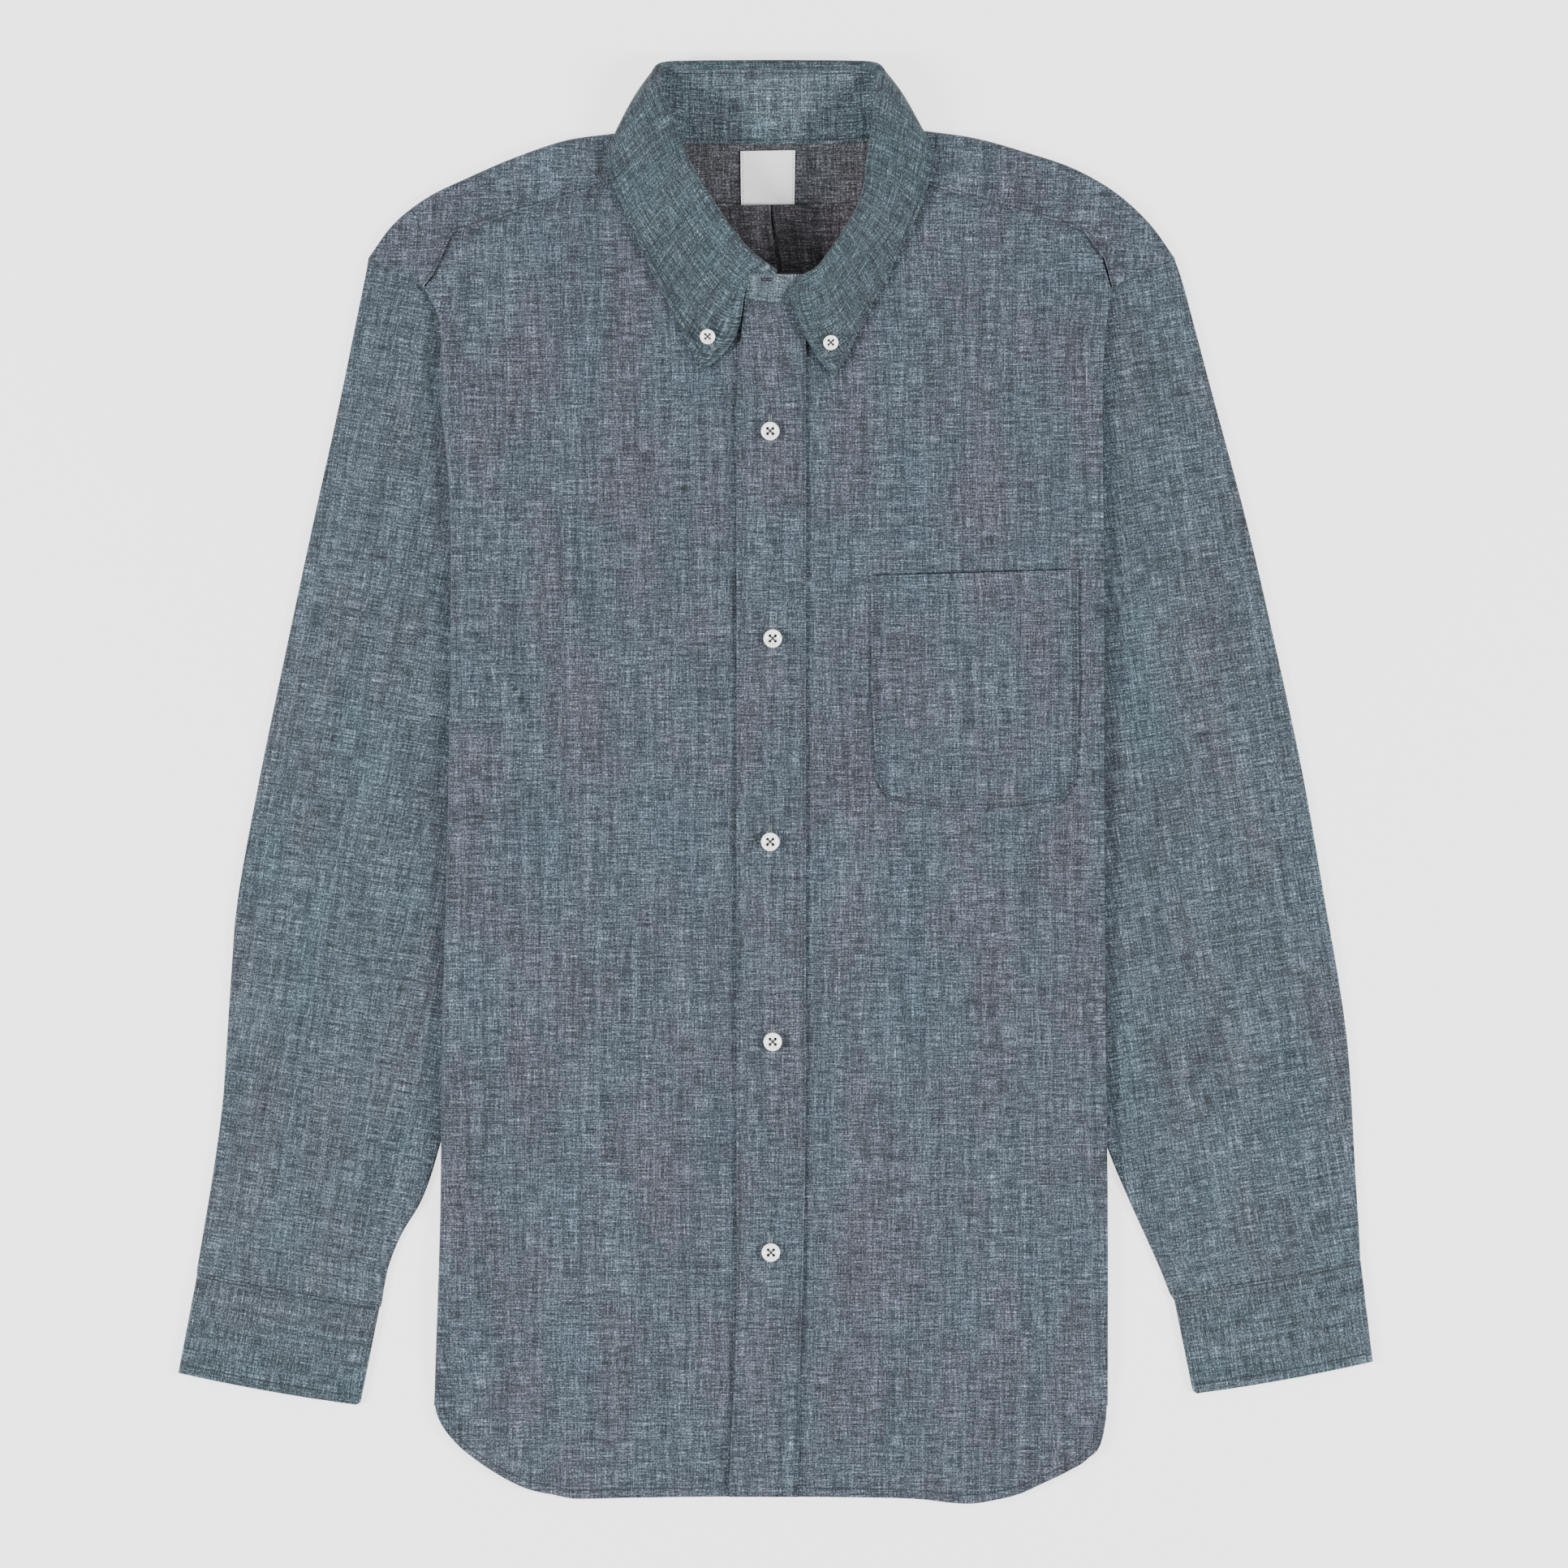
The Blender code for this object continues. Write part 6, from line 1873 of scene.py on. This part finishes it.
@dataclass
class Button:
    """A four-hole button, sewn on with a cross of thread.

    Its radius is in metres, its lift and thickness are in millimetres, and the size and
    the spacing of its holes are shares of the button.
    """
    finish: Finish
    node: str
    radius: float
    normal: Vector = field(default_factory=lambda: Vector((0.0, 0.0, 1.0)))
    lift: float = 0.0
    thick: float = 2.4
    hole: float = 0.085
    pitch: float = 0.29

    def profile(self) -> list[tuple[float, float]]:
        """Half section, out from the middle and up: dish, rounded rim, flat underside."""
        thick = self.thick * MM
        dish = [(share * self.radius, 0.62 * thick) for share in (0.0, 0.30, 0.52)]
        dish += [(0.60 * self.radius, 0.70 * thick), (0.68 * self.radius, 0.90 * thick)]
        rim = []
        for k in range(7):
            angle = math.pi * (0.62 - k / 6 * 0.62)
            rim.append((self.radius * (0.86 + 0.14 * math.cos(angle)),
                        thick * (0.72 + 0.28 * math.sin(angle))))
        return dish + rim + [(0.95 * self.radius, 0.25 * thick), (0.80 * self.radius, 0.0), (0.0, 0.0)]

    def blank(self) -> bpy.types.Object:
        """The button before it is drilled, turned round its middle."""
        points = [(out, 0.0, up) for out, up in self.profile()]
        mesh = bpy.data.meshes.new("blank")
        mesh.from_pydata(points, [(k, k + 1) for k in range(len(points) - 1)], [])
        blank = linked(self.node + "_shell", mesh, self.finish.shell)
        turn = blank.modifiers.new("turn", "SCREW")
        turn.steps = turn.render_steps = 48
        turn.use_merge_vertices = True
        turn.merge_threshold = 0.00001
        turn.use_normal_calculate = True
        return blank

    def drills(self) -> bpy.types.Object:
        """Four round drills in a square."""
        tool = bmesh.new()
        gap = self.pitch * self.radius
        for x, y in ((-gap, -gap), (gap, -gap), (gap, gap), (-gap, gap)):
            spot = Matrix.Translation((x, y, self.thick / 2 * MM))
            bmesh.ops.create_cone(tool, cap_ends=True, segments=16, radius1=self.hole * 2 * self.radius,
                                  radius2=self.hole * 2 * self.radius, depth=3 * self.thick * MM,
                                  matrix=spot)
        mesh = bpy.data.meshes.new("drills")
        tool.to_mesh(mesh)
        tool.free()
        return linked("drills", mesh)

    def threads(self) -> bpy.types.Object:
        """Two bars of thread from hole to hole, dipping into the holes."""
        gap, mesh = self.pitch * self.radius, bmesh.new()
        for turn in (math.pi / 4, 3 * math.pi / 4):
            bar = bmesh.ops.create_uvsphere(mesh, u_segments=12, v_segments=14, radius=1.0)["verts"]
            for point in bar:
                along, side, up = point.co.z, point.co.x, point.co.y
                reach = gap * 1.414 * (1.0 if abs(along) < 0.9 else 1.03)
                sunk = 0.55 * self.thick * MM * max(0.0, abs(along) - 0.62) / 0.38
                x, y = along * reach, side * 0.42 * MM
                z = 0.62 * self.thick * MM + (up * 0.34 + 0.22) * MM - sunk
                point.co = (x * math.cos(turn) - y * math.sin(turn),
                            x * math.sin(turn) + y * math.cos(turn), z)
        bmesh.ops.recalc_face_normals(mesh, faces=mesh.faces)
        shape = bpy.data.meshes.new("cross")
        mesh.to_mesh(shape)
        mesh.free()
        shape.shade_smooth()
        return linked(self.node + "_thread", shape, self.finish.button_thread)

    def build(self) -> None:
        """Make the button and its thread where its solid is."""
        blank, drills, thread = self.blank(), self.drills(), self.threads()
        cut = blank.modifiers.new("holes", "BOOLEAN")
        cut.object = drills
        fixed(blank)
        bpy.data.objects.remove(drills, do_unlink=True)
        centre = middle_of(self.node)
        turn = Vector((0.0, 0.0, 1.0)).rotation_difference(self.normal).to_matrix().to_4x4()
        seat = centre + Vector((0.0, 0.0, self.lift * MM)) - self.normal * self.thick / 2 * MM
        move = Matrix.Translation(seat) @ turn
        for part in (blank, thread):
            part.data.transform(move)
        blank.data.shade_smooth()
        blank.data.set_sharp_from_angle(angle=math.radians(40.0))
        worn(blank, "button", self.node)
        worn(thread, "button")


def plan_of(node: str) -> tuple[float, float]:
    """Middle of a solid in plan, in the tables' millimetres."""
    spot = (middle_of(node) - ORIGIN) / MM
    return spot.x, spot.y


def leaf_normal(grid: Grid, x: float, y: float) -> tuple[Vector, Grid]:
    """The fall's upward normal and nearest point at a place in plan."""
    leaf = grid[:, LEAF_START + 1:]
    gaps = np.hypot(leaf[..., 0] - x, leaf[..., 1] - y)
    i, j = np.unravel_index(np.argmin(gaps), gaps.shape)
    i, j = min(max(i, 3), leaf.shape[0] - 4), min(max(j, 2), leaf.shape[1] - 3)
    normal = Vector(np.cross(leaf[i + 3, j] - leaf[i - 3, j], leaf[i, j + 2] - leaf[i, j - 2]))
    normal.normalize()
    return (normal if normal.z > 0 else -normal), leaf[i, j]


def dress_buttons(finish: Finish, fall: Grid) -> None:
    """Make every button, and the buttonholes of the collar's points."""
    for node in PLACKET_BUTTONS:
        x, y = plan_of(node)
        lift = float(LIE.top(x, y) - LIE.body(x, y)) - 0.25
        Button(finish, node, radius=PLACKET_RADIUS, lift=lift).build()
    rows = []
    for side in Side:
        node = "collar_button_" + side.value
        normal = leaf_normal(fall, *plan_of(node))[0]
        Button(finish, node, radius=COLLAR_RADIUS, normal=normal).build()
        x, y = plan_of(node)
        down = Vector((-side.sign * 0.42, -0.9, 0.0)).normalized()
        for gap in (-0.55, 0.55):
            span = np.linspace(-6.2, 8.2, 18)
            line_x = x + down.x * span - down.y * gap
            line_y = y + down.y * span + down.x * gap
            line_z = [leaf_normal(fall, a, b)[1][2] + 0.55 for a, b in zip(line_x, line_y)]
            rows.append(grid_of(line_x, line_y, np.array(line_z)))
    holes = EYELET.sewn("collar_buttonholes", rows, finish.pale_thread)
    worn(holes, "chambray")


def dress_stand(finish: Finish, stand: Grid) -> None:
    """Make the buttonhole across the stand's upper end, in dark thread that paints the shade of its
    slit, and the stitches of its top edge, made pale as a painted highlight of the lit edge.
    """
    front = stand[-40:]
    across = np.linspace(-8.6, -1.8, 16)
    rows = []
    for y in (282.9, 283.9):
        lift = []
        for x in across:
            gaps = np.hypot(front[..., 0] - x, front[..., 1] - y)
            lift.append(front[np.unravel_index(np.argmin(gaps), gaps.shape)][2] + 1.1)
        rows.append(grid_of(across, np.full(16, y), np.array(lift)))
    # Dark thread paints the shade of the buttonhole's slit
    worn(EYELET.sewn("stand_buttonhole", rows, finish.button_thread), "chambray")
    # Edge stitching right on the stand's top edge, in pale thread as a painted highlight of the lit
    # edge
    lift = np.array([0.0, 0.0, 0.75])
    edge = [stand[-18:, -1] + lift, stand[-18:, -2] + lift]
    worn(TOPSTITCH.sewn("stand_edge", edge, finish.pale_thread), "chambray")


class Lamp(NamedTuple):
    """A soft square light that looks at the shirt: place and size in metres, power in watts."""
    name: str
    place: tuple[float, float, float]
    size: float
    power: float


LAMPS = (
    Lamp("soft_left", (-2.6, -0.5, 1.65), 0.9, 188.0),
    Lamp("soft_right", (2.6, -0.5, 1.65), 0.9, 176.0),
)


@dataclass(frozen=True)
class Studio:
    """The pale surface, the soft lights and the camera overhead."""
    view: float = 0.8887
    centre: tuple[float, float] = (4.6, -0.9)
    height: float = 4.2
    sensor: float = 36.0
    fill: float = 0.78
    reach: float = 4.0
    table_top: float = -0.0002

    def lights(self) -> None:
        """A soft light from each side and an even fill."""
        for name, place, size, power in LAMPS:
            light = bpy.data.lights.new(name, "AREA")
            light.shape = "SQUARE"
            light.size = size
            light.energy = power
            lamp = bpy.data.objects.new(name, light)
            lamp.location = place
            lamp.rotation_euler = (-Vector(place)).to_track_quat("-Z", "Y").to_euler()
            lamp.visible_camera = False
            bpy.context.scene.collection.objects.link(lamp)
        world = bpy.data.worlds.new("even_fill")
        world.use_nodes = True
        background = world.node_tree.nodes["Background"]
        background.inputs["Color"].default_value = (1.0, 1.0, 1.0, 1.0)
        background.inputs["Strength"].default_value = self.fill
        bpy.context.scene.world = world

    def table(self) -> None:
        """The pale surface that the shirt lies on."""
        mesh = bpy.data.meshes.new("table")
        corners = [(x * self.reach, y * self.reach, self.table_top)
                   for x, y in ((-1, -1), (1, -1), (1, 1), (-1, 1))]
        mesh.from_pydata(corners, [], [(0, 1, 2, 3)])
        linked("table", mesh, Table().material())

    def camera(self) -> None:
        """The camera, straight above the middle of the photographed frame."""
        lens = bpy.data.cameras.new("overhead")
        lens.sensor_width = lens.sensor_height = self.sensor
        lens.lens = self.sensor * self.height / self.view
        camera = bpy.data.objects.new("overhead", lens)
        camera.location = Vector((self.centre[0] * MM, self.centre[1] * MM, self.height)) + ORIGIN
        bpy.context.scene.collection.objects.link(camera)
        bpy.context.scene.camera = camera

    def build(self) -> None:
        """Set the whole studio up."""
        self.lights()
        self.table()
        self.camera()


def main() -> None:
    """Build the shirt's looks, piece by piece."""
    logging.basicConfig(level=logging.INFO, format="%(message)s")
    Studio().build()
    finish = Finish()
    Back(finish, "back", (0.45, 0.73), ("table",)).build()
    Yoke(finish, "yoke", (0.46, 0.11), ("table",)).build()
    for side in Side:
        word = side.value
        Sleeve(finish, "sleeve_" + word, (0.30, 0.59), ("table",), side=side).build()
        CuffBand(finish, "cuff_" + word, (0.218, 0.060), ("table",), side=side).build()
        Front(finish, "front_" + word, (0.27, 0.76), ("back", "sleeve_" + word), side=side).build()
    Placket(finish, "placket", (0.040, 0.68), ("front_right", "front_left")).build(
        [plan_of(node) for node in PLACKET_BUTTONS])
    Pocket(finish, "pocket", (0.118, 0.136), ("front_left",)).build()
    NeckLabel(finish, "neck_label", (0.031, 0.031), ("yoke",)).build()
    stand = Collar(finish, "collar_stand", (0.47, 0.046), ("yoke",), fall=False).build()
    fall = Collar(finish, "collar_fall", (0.50, 0.09), ("front_right", "front_left"),
                  row_lift=0.04).build()
    dress_buttons(finish, fall)
    dress_stand(finish, stand)


if __name__ == "__main__":
    main()
